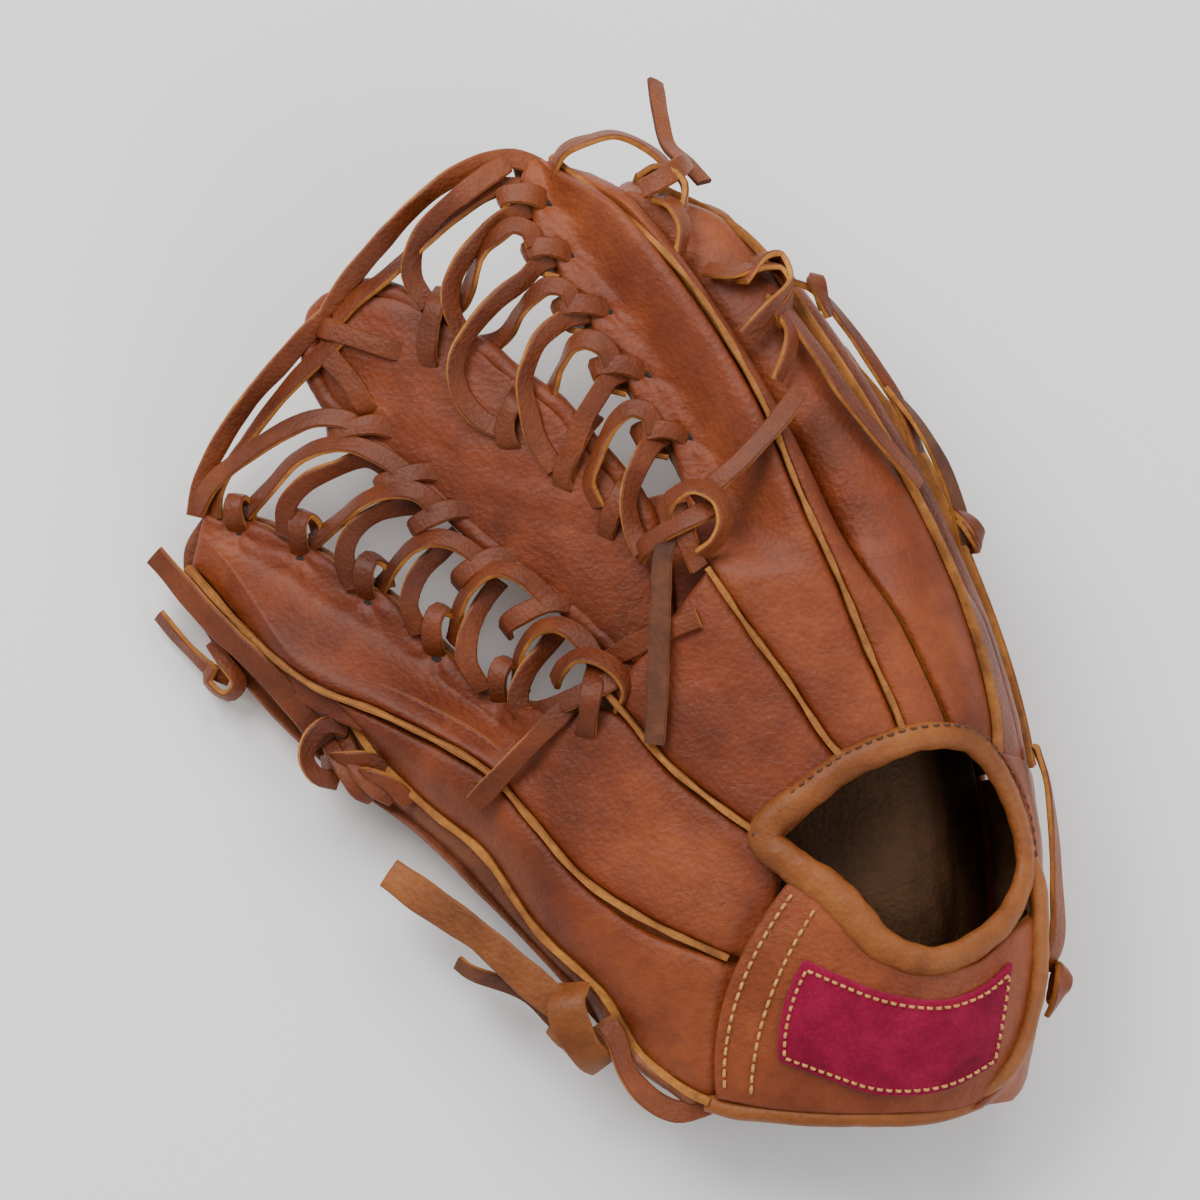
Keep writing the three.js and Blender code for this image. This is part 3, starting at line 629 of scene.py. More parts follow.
def lace_holes(name, places, body):
    """The dark punched holes that the laces go into: a shallow dome of shadow in each dimple."""
    verts, faces = [], []
    for k, (a, y, n) in enumerate(places):
        rings = []
        for reach, low in HOLE_RINGS:
            ring = []
            for j in range(HOLE_SIDES):
                t = j * 2 * math.pi / HOLE_SIDES
                grow = HOLE_RADIUS * reach * (1 + 0.12 * math.sin(2 * t + k))
                ring.append([a + math.cos(t) * grow, y + math.sin(t) * grow * HOLE_NARROW, n + low])
            rings.append(place(ring))
        add_tube(verts, faces, rings)
    return make(name, verts, faces, [HOLE], [0] * len(faces), body)


# ---- seams and edges, as in the CAD ----------------------------------------------------------
knuckle_seam = [[-12, 104], [-20, 123], [-26, 137], [-31, 154]]
index_seam = [[9, 112], [6, 130], [5, 150], [5, 175], [9, 203], [11, 240], [9, 278]]
index_crease = [[25, 112], [21, 132], [18, 152], [19, 185], [21, 220], [24, 250], [22, 275]]
middle_seam = [[44, 110], [47, 140], [46, 180], [46, 220], [46, 250], [43, 276]]
middle_crease = [[59, 96], [61, 140], [62, 180], [62, 230], [58, 268]]
ring_seam = [[76, 96], [77, 150], [78, 200], [75, 263]]
ring_crease = [[92, 96], [93, 150], [93, 200], [90, 252]]
little_seam = [[106, 96], [108, 150], [108, 200], [105, 240]]
little_edge = [[115, 96], [121, 140], [126, 190], [121, 234]]
thumb_seam = seen_all([[-52, 54], [-70, 66], [-84, 82], [-97, 96], [-127, 112], [-147, 120], [-170, 136],
                       [-188, 153]])
thumb_web_edge = seen_all([[-65, 116], [-80, 114], [-93, 115], [-104, 121], [-118, 134], [-131, 146],
                           [-145, 155], [-165, 166], [-184, 170]])
thumb_low_seam = seen_all([[-40, 4], [-55, 13], [-66, 30], [-84, 48], [-101, 72], [-115, 83], [-130, 97],
                           [-141, 112]])
thumb_outer_edge = seen_all([[-39, -1], [-60, 10], [-84, 38], [-101, 57], [-122, 77], [-139, 89],
                             [-161, 107], [-180, 129], [-191, 146]])
opening = seen_all([[-18, 77], [-4, 91], [12, 101], [28, 106], [41, 105], [50, 95], [56, 82], [58, 67],
                    [54, 57], [47, 49], [38, 44], [28, 42], [17, 46], [8, 55], [-1, 64], [-10, 70]])[::-1]


FINGER_TIPS = {"index": 280, "middle": 277, "ring": 264, "little": 241}
TIP_LENGTH = 24
CREASE_STARTS, CREASE_FULL = 138, 172
THUMB_TIP_STARTS, THUMB_TIP_ENDS = 150, 188


def tip_dip(finger):
    tip = FINGER_TIPS[finger]
    return lambda y: FLANGE * smooth(tip - TIP_LENGTH, tip, y)


index_tip, middle_tip, ring_tip, little_tip = map(tip_dip, FINGER_TIPS)


def crease_at(y):
    return CREASE * smooth(CREASE_STARTS, CREASE_FULL, y)


def to_flange(e):
    return FLANGE * (1 - smooth(0.34, 0.97, e))


def plan_x(a, y):
    """A place's x in plan, on the flat side of the crest."""
    return crest_x(y) + np.minimum(a, 0)


def thumb_tip(a, y):
    return FLANGE * smooth(THUMB_TIP_STARTS, THUMB_TIP_ENDS, -plan_x(a, y))


def at_depth(deep, dome=0.0):
    """A panel that lies at one depth, but for a dome along its middle."""
    return lambda e, t, a, y: deep - dome * np.sin(math.pi * e) + 0 * a


# The fold between the hand and the thumb, which the leather bends across
FOLD_HAND = tuple(place(seen(-30, 70, -20)))
FOLD_THUMB = tuple(place(seen(-78, 62, -20)))
OVER_FOLD = ("hand", "thumb", FOLD_HAND, FOLD_THUMB)

# ---- finger backs ----------------------------------------------------------------------------
TIP_ROUND = 9
# The backs run on under the opening's rolled edge
knuckle_line = [[-6, 97]] + knuckle_seam
index_line, index_crease_line = [[10, 103]] + index_seam, [[26, 103]] + index_crease
middle_line, middle_crease_line = [[41, 101]] + middle_seam, [[52, 91]] + middle_crease
tip_edge = [[-31, 172], [-28, 188], [-30, 208], [-28, 227], [-25, 243], [-20, 257], [-12, 269], [-2, 276.5]]
index_holes = seen_all([[-81, 263], [-75, 247], [-64, 230], [-53, 211], [-41, 192.5]])


def finger_back(name, left, right, rows, depth, seed, body="hand", cols=26, corner=None, **more):
    """One panel of a finger's back. Its corner at the fingertip is cut round, on the left or the right."""
    A, Y, E, T = ruled(left, right, rows, cols, 0.75)
    if corner:
        far = 1 - E if corner == "left" else E
        Y = Y - TIP_ROUND * far**2.2 * smooth(0.82, 1, T)
    return shell(name + "_skin", (A, Y, E, T), depth, "shell_leather", body, name, seed=seed, **more)


INDEX_FLANGE_STARTS, INDEX_FLANGE_FULL = 150, 176


def index_web_side_depth(e, t, a, y):
    return np.maximum(index_tip(y), to_flange(e) * smooth(INDEX_FLANGE_STARTS, INDEX_FLANGE_FULL, y))


finger_back("index_back_web_side", knuckle_line + tip_edge, index_line, 130, index_web_side_depth, 1,
            cols=48, pulls=[p[:2] for p in index_holes],
            scallops=[(p[0] - 9, p[1] - 0.5, 2.2, 0) for p in index_holes])


def to_crease(tip, corner):
    """A panel that goes down to the crease beside its finger, on the right or the left."""
    return lambda e, t, a, y: np.maximum(tip(y), crease_at(y) * ((1 - e) if corner == "left" else e) ** 2)


for seed, (name, left, right, rows, tip, corner) in enumerate([
        ("index_back_outer", index_line, index_crease_line, 80, index_tip, None),
        ("middle_back_inner", index_crease_line, middle_line, 80, middle_tip, "left"),
        ("middle_back_outer", middle_line, middle_crease_line, 80, middle_tip, "right"),
        ("ring_back_inner", middle_crease, ring_seam, 70, ring_tip, "left"),
        ("ring_back_outer", ring_seam, ring_crease, 70, ring_tip, "right"),
        ("little_back_inner", ring_crease, little_seam, 64, little_tip, "left")], 2):
    finger_back(name, left, right, rows, to_crease(tip, corner), seed, corner=corner)
finger_back("little_back_outer", little_seam, little_edge, 64,
            lambda e, t, a, y: np.maximum(little_tip(y), to_flange(1 - e)), 8, corner="right")


def welt(name, seam, dip, body="hand", node=None):
    points = [[p[0], p[1], 0.15 - float(dip(p[0], p[1]))] for p in seam]
    return lace(name + "_strip", points, body, name if node is None else node, width=1.7, thick=2.6,
                mats=[WELT, WELT], slot="raw_edge_leather", steps=110, rough_edge=0.28)


welt("index_welt", index_line, lambda a, y: index_tip(y))
welt("middle_welt", middle_line, lambda a, y: middle_tip(y))
welt("ring_welt", ring_seam, lambda a, y: ring_tip(y))
welt("little_welt", little_seam, lambda a, y: little_tip(y))

# ---- back of the hand ------------------------------------------------------------------------
web_seam = seen_all([[-14, 76], [-23, 81], [-38, 92], [-46, 99], [-62, 118]])
shell("knuckle_back_skin",
      ruled(web_seam, [[-6, 97], [-12, 103], [-20, 122], [-26, 137], [-31, 154]], 60, 36, 0.75),
      at_depth(0), "shell_leather", OVER_FOLD, "knuckle_back", seed=9)
shell("hand_back_lining_skin",
      ruled(seen_all([[-34, 50], [-52, 76], [-66, 98], [-75, 113]]),
            [seen(-24, 72), [-13, 102], [-6, 126], [-18, 150]], 40, 24, 0),
      at_depth(4.4), "lining_leather", OVER_FOLD, thick=1.2, tuck=0, round_off=0.4, waves=(0.2, 20),
      mats=[BACKING, SHADE_PAINTED_INSIDE, EDGE], seed=20)
welt("knuckle_welt", knuckle_line, lambda a, y: 0)
welt("web_seam_welt", web_seam, lambda a, y: 0.3, OVER_FOLD, ())
side_line = [[60, 0], [75, 9], [86, 24], [103, 66], [114, 94], [121, 140], [126, 190], [121, 233]]
flap_edge = [[30, -1], [42, 8], [50, 20], [54, 34], [55, 50], [54, 66], [52, 80], [47, 93], [40, 101]]
SIDE_STEEPNESS, SIDE_SINKS = (3.2, 6.6), 1.6


def side_depth(e, t, a, y):
    """The little finger's side falls to its flange, and lies a little high beside the bound edge."""
    steep = SIDE_STEEPNESS[0] + (SIDE_STEEPNESS[1] - SIDE_STEEPNESS[0]) * t
    return FLANGE * (1 - smooth(0.05, 1, (1 - e) * steep)) - SIDE_SINKS * (1 - smooth(0, 0.3, e))


shell("heel_back_little_side_skin", ruled(flap_edge, side_line[:5], 70, 44, 0.2), side_depth,
      "shell_leather", "hand", "heel_back_little_side", seed=10, tuck=0.2)
roll("opening_binding_roll", [[p[0], p[1], -0.4] for p in opening],
     [5.0, 5.4, 5.2, 4.6, 4.2, 4.0, 3.8, 3.6, 3.6, 3.7, 3.8, 4.1, 4.4, 4.5, 4.6, 4.8, 5.0], "hand",
     "opening_binding", closed=True, steps=360, flat=0.72, pucker=0.2, pitch=9)
side_binding_height = [-2.5, 0.4, 1.2, 1.4, 1.4, 1.0, -1.5]
roll("side_binding_roll", [[p[0] - 1.5, p[1], h] for p, h in zip(flap_edge[:7], side_binding_height)],
     [1.8, 3.3, 3.6, 3.8, 3.8, 3.4, 1.6], "hand", steps=200, flat=0.75, pucker=0.2, pitch=9)
roll("little_side_seam_roll", [[p[0], p[1], -16.6] for p in side_line], 2.5, "hand", (), "shell_leather",
     steps=240, mat=SHELL, flat=1.0, pucker=0.3, pitch=6)
# The sewing that holds the rolled edge down runs just outside it
middle_x, middle_y = np.mean([q[0] for q in opening]), np.mean([q[1] for q in opening])
sewn = []
for x, y in (p[:2] for p in opening[8:]):
    away = math.hypot(x - middle_x, y - middle_y)
    sewn.append([x + (x - middle_x) / away * 3.1, y + (y - middle_y) / away * 2.9, 2.2])
stitches("opening_stitching", [sewn], "hand", pitch=3.4, long=2.2, radius=0.34, mat=SEWN)

# ---- wrist strap -----------------------------------------------------------------------------
strap_foot = [*seen_all([[-31, 2], [-14, -1], [2, -2], [20, -2], [38, -1], [50, 3]]), [54, 8, 0]]
strap_top = [*seen_all([[-9, 67], [-3, 63], [5, 54], [14, 44.5], [28, 40], [43, 42], [52, 49]]), [56, 56, 0]]


def strap_depth(e, t, a, y):
    """The strap's right end dips under the bound edge of the little finger's side."""
    past = np.maximum(0, a - np.interp(y, [-1, 8, 20, 34, 50], [30, 42, 50, 54, 55]))
    return -0.9 + np.minimum(12, 0.12 * past**2)


def strap_places(foot, top, bow, e, t):
    """Places on the strap by their shares across and up. Its left end bows out."""
    t = np.asarray(t, float)
    p = route(foot)(e) * (1 - t[..., None]) + route(top)(e) * t[..., None]
    return np.stack([p[..., 0] - bow * 4 * t * (1 - t) * (1 - e) ** 3, p[..., 1]], -1)


def strap_grid(foot, top, bow, rows, cols):
    e, t = shares(cols, 85), shares(rows, 45)[:, None]
    return grid_of(strap_places(foot, top, bow, e, t), e[None], t)


def strap_line(foot, top, bow, e, t, n):
    """A line of places on the strap, by its shares across and up."""
    e, t = np.broadcast_arrays(e, t)
    return [[*p, n] for p in strap_places(foot, top, bow, e, t)]


shell("wrist_strap_skin", strap_grid(strap_foot, strap_top, 10, 60, 110), strap_depth,
      "shell_leather", "hand", "wrist_strap", tuck=0.2, waves=(0.3, 30), seed=11, thick=2.6)
shell("wrist_strap_lining_skin", strap_grid(strap_foot, strap_top, 8, 20, 40),
      lambda e, t, a, y: 3.8 + strap_depth(e, t, a, y),
      "lining_leather", "hand", "wrist_strap_lining", thick=1.5, tuck=0, round_off=0.5, waves=(0.1, 20),
      mats=SHADE_PAINTED_LINER_MATS)
patch_foot = seen_all([[-13, 14], [2, 8.5], [15, 4.5], [33, 5.5], [48, 13]])
patch_top = seen_all([[-6, 43], [4, 38.5], [17, 33.5], [33, 31.5], [44, 35], [52, 41.5]])
shell("strap_patch_skin", strap_grid(patch_foot, patch_top, 3, 40, 70), at_depth(-2.6), "patch_suede",
      "hand", "strap_patch", thick=1.6, tuck=0, round_off=0.7, waves=(0.12, 14), mats=[PATCH, PATCH, PATCH])
border, side, up_strap = np.linspace(0.03, 0.97, 14), np.linspace(0.07, 0.93, 8), np.linspace(0.06, 0.94, 10)
patch_lines = [(border, 0.07), (border, 0.93), (0.03, side), (0.97, side)]
stitches("patch_stitching", [strap_line(patch_foot, patch_top, 3, e, t, 2.8) for e, t in patch_lines],
         "hand", pitch=2.6, long=2.0, radius=0.5)
stitches("strap_edge_stitching",
         [strap_line(strap_foot, strap_top, 10, e, up_strap, 1.2) for e in (0.03, 0.105)], "hand",
         pitch=3.3, long=2.7, radius=0.5)
roll("heel_binding_roll", seen_all([[-34, 0, -3], [-25, -2, -2], [-10, -3.4, -2], [6, -4, -2], [20, -4, -2],
                                    [34, -3, -2], [46, 0, -3]]), 2.9, "hand", "heel_binding", steps=200,
     pucker=0.1, pitch=11, flat=1.1)

# ---- palm ------------------------------------------------------------------------------------
palm_tips = [[-8, 275], [8, 278], [24, 272], [44, 275], [60, 262], [76, 262], [92, 246], [107, 238],
             [121, 233]]


PALM_CREASES, PALM_CREASE_DEPTH = (21, 62, 92), 2.2


def into_fingers(palm, fingers, y):
    return palm + (fingers - palm) * smooth(105, 165, y)


def palm_lining_depth(e, t, a, y):
    return into_fingers(LINING_IN_PALM, LINING_IN_FINGERS, y) - 8.2 * smooth(0.78, 1, e)


def palm_depth(e, t, a, y):
    web_side = (1 - smooth(0, 0.1, e)) * smooth(150, 178, y)
    rise = np.maximum(np.maximum(web_side, smooth(0.9, 1, e)), smooth(0.94, 1, t))
    inside = into_fingers(SHELL_IN_PALM, SHELL_IN_FINGERS, y)
    d = inside + (SHELL_AT_EDGE - inside) * rise
    for crease in PALM_CREASES:
        d = d - PALM_CREASE_DEPTH * np.exp(-((a - crease) / 2.6) ** 2) * smooth(150, 190, y)
    return d


shell("palm_shell_skin",
      four_sided([[-54, 1], [-20, 0], [20, 0], [46, 0], [60, 1]], palm_tips,
                 [[-54, 1], [-66, 52], [-72, 108], [-55, 140], [-31, 172], [-30, 208], [-28, 227],
                  [-18, 261], [-8, 275]],
                 [[60, 1], [75, 9], [86, 24], [103, 66], [115, 96], [121, 140], [126, 190], [121, 233]],
                 110, 110),
      palm_depth, "palm_leather", OVER_FOLD, "palm_shell", mats=[BACKING, PALM, EDGE], tuck=0,
      waves=(0.7, 40), seed=12)
shell("palm_lining_skin",
      four_sided([[-52, 4], [-20, 4], [20, 4], [40, 4], [58, 5]],
                 [[2, 250], [24, 248], [44, 248], [60, 240], [76, 232], [92, 214]],
                 [[-52, 4], [-60, 52], [-62, 100], [-34, 140], [-12, 172], [-10, 208], [-6, 230], [2, 250]],
                 [[58, 5], [72, 14], [84, 40], [97, 90], [101, 150], [96, 214]], 60, 60),
      palm_lining_depth, "lining_leather", OVER_FOLD, "palm_lining", thick=1.5, tuck=0, round_off=0.5,
      waves=(0.8, 26), mats=SHADE_PAINTED_LINER_MATS, seed=13)

# ---- thumb -----------------------------------------------------------------------------------


DIVE_DEPTH, STRAP_LEFT, STRAP_LEANS_ABOVE, STRAP_LEAN = 3.4, 27, 20, 0.0062
THUMB_FLANGE_STARTS, THUMB_FLANGE_FULL = 76, 104
LOW_PANEL_DROP = 9


def under_strap(a, y):
    """The backs dive under the wrist strap's left edge."""
    lean = STRAP_LEAN * np.maximum(y - STRAP_LEANS_ABOVE, 0) ** 2
    return DIVE_DEPTH * smooth(-9, 0, crest_x(y) + a + STRAP_LEFT - lean)


def thumb_back_depth(e, t, a, y):
    flange = to_flange(1 - e) * smooth(THUMB_FLANGE_STARTS, THUMB_FLANGE_FULL, -plan_x(a, y))
    return np.maximum(thumb_tip(a, y), flange) + under_strap(a, y)


def low_drop(t):
    """How far the lower panel's outer edge hangs, along it."""
    return LOW_PANEL_DROP * smooth(0.08, 0.3, t)


thumb_holes = seen_all([[-174, 163.5], [-156, 156.5], [-136, 143.5], [-116, 127.5], [-96, 113.5]])


# The upper back panel runs in one piece from the wrist strap over the fold to the tip of the thumb
upper_left = seen_all([[-20, 38], [-30, 43.5]]) + thumb_seam
upper_right = seen_all([[-13, 71], [-22, 79.5], [-38, 90.5], [-46, 97.5], [-60, 113]]) + thumb_web_edge[1:]
shell("thumb_back_upper_skin", ruled(upper_left, upper_right, 190, 50, 0.75), thumb_back_depth,
      "shell_leather", OVER_FOLD, ("thumb_back_web_side", "hand_back_thumb_side"), seed=14,
      pulls=[p[:2] for p in thumb_holes], scallops=[(p[0] + 1, p[1] + 9, 0, -2.4) for p in thumb_holes])
# A strip of leather lies under the seam, so no light comes through it
shell("thumb_seam_lining_skin",
      ruled([[p[0] - 2, p[1] - 8] for p in upper_left[:-1]], [[p[0] + 2, p[1] + 8] for p in upper_left[:-1]],
            70, 10, 0),
      lambda e, t, a, y: 3.5 + thumb_tip(a, y) + under_strap(a, y), "shell_leather", OVER_FOLD, thick=1.6,
      tuck=0, round_off=0.4, waves=(0.1, 20), seed=21)
low_right = seen_all([[-20, 37], [-30, 42.5], [-51.5, 51], [-70, 64.6], [-84, 80.6], [-97, 94.6],
                      [-127, 110.6], [-141, 116.8]])
shell("thumb_back_outer_skin",
      ruled(seen_all([[-22, 1], [-33, 1]]) + thumb_low_seam, low_right, 120, 34, 0.7),
      lambda e, t, a, y: low_drop(t) * (1 - e) ** 2 + under_strap(a, y), "shell_leather", OVER_FOLD,
      ("thumb_back_outer", "heel_back_thumb_side"), seed=15)
welt("thumb_back_welt", seen_all([[-28, 42.5]]) + thumb_seam,
     lambda a, y: thumb_tip(a, y) + float(under_strap(a, y)), OVER_FOLD)
low_path = seen_all([[-33, 1]]) + thumb_low_seam
hang = low_drop(np.arange(len(low_path)) / (len(low_path) - 1))
lace("thumb_edge_welt_strip", [[p[0], p[1], -0.4 - h] for p, h in zip(low_path, hang)], OVER_FOLD, width=2.4,
     thick=3, mats=[EDGE, EDGE], slot="raw_edge_leather", steps=110, rough_edge=0.2)


def thumb_side_depth(e, t, a, y):
    """The palm leather comes up round the side of the thumb to meet the back at that welt."""
    bulge = (15.5 - 3 * smooth(0.6, 1, t)) * (1 - np.sqrt(1 - 0.97 * e**2))
    return 10.2 * smooth(0.0, 0.28, t) + 1 + bulge


side_top = seen_all([[-36, 0]]) + thumb_low_seam + seen_all([[-158, 126], [-175, 139], [-187, 151]])
side_out = [[q[0] - 1.4, q[1] - 1.4, 0] for q in seen_all([[-41, -2]]) + thumb_outer_edge[1:]]
shell("thumb_side_skin", ruled(side_top, side_out, 130, 16, 0.3), thumb_side_depth, "palm_leather",
      OVER_FOLD, thick=2.6, mats=[PALM, BACKING, EDGE], tuck=0.6, waves=(0.9, 26), seed=22)
lace_holes("thumb_lace_holes", [[p[0], p[1] - 1.8, -14.4] for p in thumb_holes], "thumb")
lace_holes("index_lace_holes", [[p[0] + 1.6, p[1], -14.3] for p in index_holes], "hand")


THUMB_EDGE_HIGHER = 4.2


def thumb_palm_depth(e, t, a, y):
    """The thumb's palm rises to its outer edge, which lies higher, to the web's edge and to the tip."""
    inside = SHELL_IN_PALM + (SHELL_IN_THUMB - SHELL_IN_PALM) * smooth(0.1, 0.5, t)
    outer = 1 - smooth(0, 0.2, e)
    rise = np.maximum(np.maximum(outer, smooth(0.8, 1, e) * smooth(0.02, 0.24, t)), smooth(0.88, 1, t))
    return inside + (SHELL_AT_EDGE - THUMB_EDGE_HIGHER * outer - inside) * rise


def thumb_lining_depth(e, t, a, y):
    return LINING_IN_PALM + (LINING_IN_THUMB - LINING_IN_PALM) * smooth(0.1, 0.5, t)


shell("thumb_palm_shell_skin",
      four_sided(seen_all([[-39, 1], [-50, 52], [-64, 113]]), seen_all([[-191, 146], [-192, 158],
                                                                        [-186, 170]]),
                 thumb_outer_edge, thumb_web_edge, 110, 60),
      thumb_palm_depth, "palm_leather", OVER_FOLD, "thumb_palm_shell", mats=[PALM, PALM, EDGE], tuck=0,
      waves=(0.6, 36), seed=16)
shell("thumb_lining_skin",
      four_sided(seen_all([[-50, 24], [-56, 60], [-70, 102]]), seen_all([[-168, 142], [-168, 146],
                                                                         [-166, 150]]),
                 seen_all([[-50, 24], [-76, 56], [-106, 90], [-138, 116], [-168, 142]]),
                 seen_all([[-70, 102], [-97, 102], [-123, 121], [-147, 138], [-166, 150]]), 50, 26),
      thumb_lining_depth, "lining_leather", OVER_FOLD, "thumb_lining", thick=1.5, tuck=0, round_off=0.5,
      waves=(0.6, 26), mats=SHADE_PAINTED_LINER_MATS, seed=17)

# ---- web -------------------------------------------------------------------------------------
tongue_index = seen_all([[-40, 126], [-49, 139], [-52, 155], [-59, 174], [-72, 189], [-81, 200], [-93, 208],
                         [-102, 216], [-114, 221]])
tongue_thumb = seen_all([[-58, 117], [-66, 131], [-76, 141], [-95, 156], [-108, 167], [-119, 178],
                         [-133, 190], [-145, 201], [-150, 212]])
tongue_tips = [tongue_thumb[-1], *seen_all([[-148, 226], [-134, 233], [-122, 230]]), tongue_index[-1]]
tongue_grid = four_sided([tongue_thumb[0], tongue_index[0]], tongue_tips, tongue_thumb, tongue_index, 70, 36)
shell("web_tongue_back_skin", tongue_grid, at_depth(14, 1.2), "shell_leather", "web", "web_tongue_back",
      thick=2.2, tuck=0.3, waves=(0.5, 22), seed=18)
shell("web_tongue_palm_skin", tongue_grid, at_depth(16.9, 1.0), "palm_leather", "web", "web_tongue_palm",
      thick=2.2, tuck=0, waves=(0.5, 22), mats=[BACKING, PALM, EDGE], seed=18)
shell("web_root_gusset_skin",
      ruled(seen_all([[-60, 122], [-57, 148], [-62, 172]]), seen_all([[-34, 134], [-30, 155], [-38, 178]]),
            30, 20, 0),
      lambda e, t, a, y: 19.4 - 4 * e + 0 * a, "shell_leather", "hand", thick=2, tuck=0, waves=(0.3, 20),
      seed=19)
web_edge = [[p[0], p[1], -16.2] for p in seen_all([
    [-46, 122], [-49, 138], [-51, 155], [-58, 175], [-71, 190], [-80, 201], [-92, 209], [-101, 217],
                                                   [-113, 222],
    [-122, 231], [-134, 235], [-150, 228], [-152, 212], [-146, 200], [-133, 189], [-119, 177], [-108, 166],
    [-95, 155], [-76, 140], [-64, 129], [-56, 118]])]
roll("web_binding_roll", web_edge, 3.1, "web", "web_binding", closed=True, steps=420, mat=SHELL, flat=0.95,
     pucker=0.2, pitch=9)
lace("web_tip_strip_upper_lace", seen_all([[-150, 224, -15], [-146, 223, -11.4], [-137, 220, -11],
                                           [-128, 217, -11.6],
                                           [-124, 216, -15]]), "web", "web_tip_strip_upper")
lace("web_tip_strip_lower_lace", seen_all([[-149, 218, -15], [-146, 215, -11.4], [-140, 208, -11],
                                           [-136, 201, -11.6], [-134, 198, -15]]), "web",
     "web_tip_strip_lower")

# ---- web lacing ------------------------------------------------------------------------------
INDEX_TO_WEB = ("hand", "web", tuple(place(seen(-60, 215, -13))), tuple(place(seen(-88, 197, -13))))
web_side_mirror = np.array(place(seen(-107, 177, -13))) * 2 - np.array(place(seen(-128, 142, -13)))
# The web turns half as far as the thumb, so at its edge a blend from hand to thumb has to be halfway
THUMB_TO_WEB = ("hand", "thumb", tuple(web_side_mirror), tuple(place(seen(-128, 142, -13))))


def strand(name, points, heights, body, node=(), twist=0.0, seed=0, **more):
    """A stretch of lace through places seen from above, with its heights above the sheet along it."""
    share = np.linspace(0, 1, len(points))
    n = np.interp(share, np.linspace(0, 1, len(heights)), heights)
    return lace(name, [seen(x, y, h) for (x, y), h in zip(points, n)], body, node, twist=twist, seed=seed,
                **more)


# Where the lace crosses the index stall's edge it lies in a short bar that dives into a hole
for i, line in enumerate([
        [(-80, 263), (-84, 264), (-90, 264), (-94.5, 262.5), (-92, 259), (-86, 257)],
        [(-73.5, 247), (-78, 248), (-83, 248), (-87.5, 246), (-85, 242.5), (-78, 241)],
        [(-62.5, 230), (-68, 231), (-74, 231), (-79, 229), (-77, 225.5), (-70, 224)],
        [(-52.5, 211), (-57, 213), (-63, 213), (-68.5, 211.5), (-66, 208), (-59, 206)],
        [(-40, 192), (-45, 194), (-51, 194), (-56, 192), (-54, 188.5), (-47, 187)]]):
    strand(f"index_bar_{i}", line, [-16, -11.4, -10.6, -12.6, -17, -18], "hand", seed=i)
# and so do the bars on the thumb stall's edge and on both edges of the tongue
for i, line in enumerate([
        [(-174, 163), (-174, 167), (-174, 171.5), (-173.5, 174), (-172.5, 171), (-172, 165)],
        [(-156, 156), (-155, 161), (-155, 166), (-154, 169), (-152, 166), (-151, 160)],
        [(-136, 143), (-136, 148), (-135.5, 153), (-134, 156), (-131, 153), (-130, 147)],
        [(-116, 127), (-116, 132), (-115.5, 138), (-114, 141), (-111, 138), (-110, 132)],
        [(-96, 112.5), (-97, 118), (-96.5, 123), (-95, 126), (-92, 123), (-91, 117)]]):
    strand(f"thumb_bar_{i}", line, [-16, -11.4, -10.6, -13, -17.2, -18], "thumb", seed=i + 3)
for i, line in enumerate([
        [(-116, 209), (-117, 215), (-116, 223), (-114, 231), (-113, 235)],
        [(-92, 186.5), (-94, 190), (-94, 196), (-91, 202), (-90, 206)],
        [(-78, 173.5), (-78, 180), (-75, 187), (-71, 194), (-69, 198)],
        [(-66, 160), (-65, 165), (-63, 170), (-60, 176), (-58, 180)]]):
    strand(f"tongue_index_bar_{i}", line, [-16, -11.6, -10.4, -10.6, -16], "web", twist=[0, 0.2, 0],
           seed=i + 5)
for i, line in enumerate([
        [(-127, 193), (-132, 195), (-139, 194), (-145, 193), (-147, 192)],
        [(-113.5, 181), (-120, 181), (-126, 179), (-131, 177), (-133, 175)],
        [(-104.5, 170), (-111, 170), (-116, 168), (-121, 165), (-123, 163)],
        [(-91, 156), (-98, 156), (-103, 154), (-108, 150), (-110, 147)],
        [(-75, 142), (-81, 143), (-87, 141), (-94, 137), (-96, 134)]]):
    strand(f"tongue_thumb_bar_{i}", line, [-16, -11.6, -10.4, -11, -17], "web", twist=[0, -0.2, 0],
           seed=i + 9)
lace_holes("tongue_lace_holes", [seen(x, y, -14.9) for x, y in (
    (-116, 209), (-92, 187), (-78, 174), (-66, 160), (-127.5, 193), (-114, 181), (-105, 170), (-91.5, 156),
    (-75.5, 142))], "web")

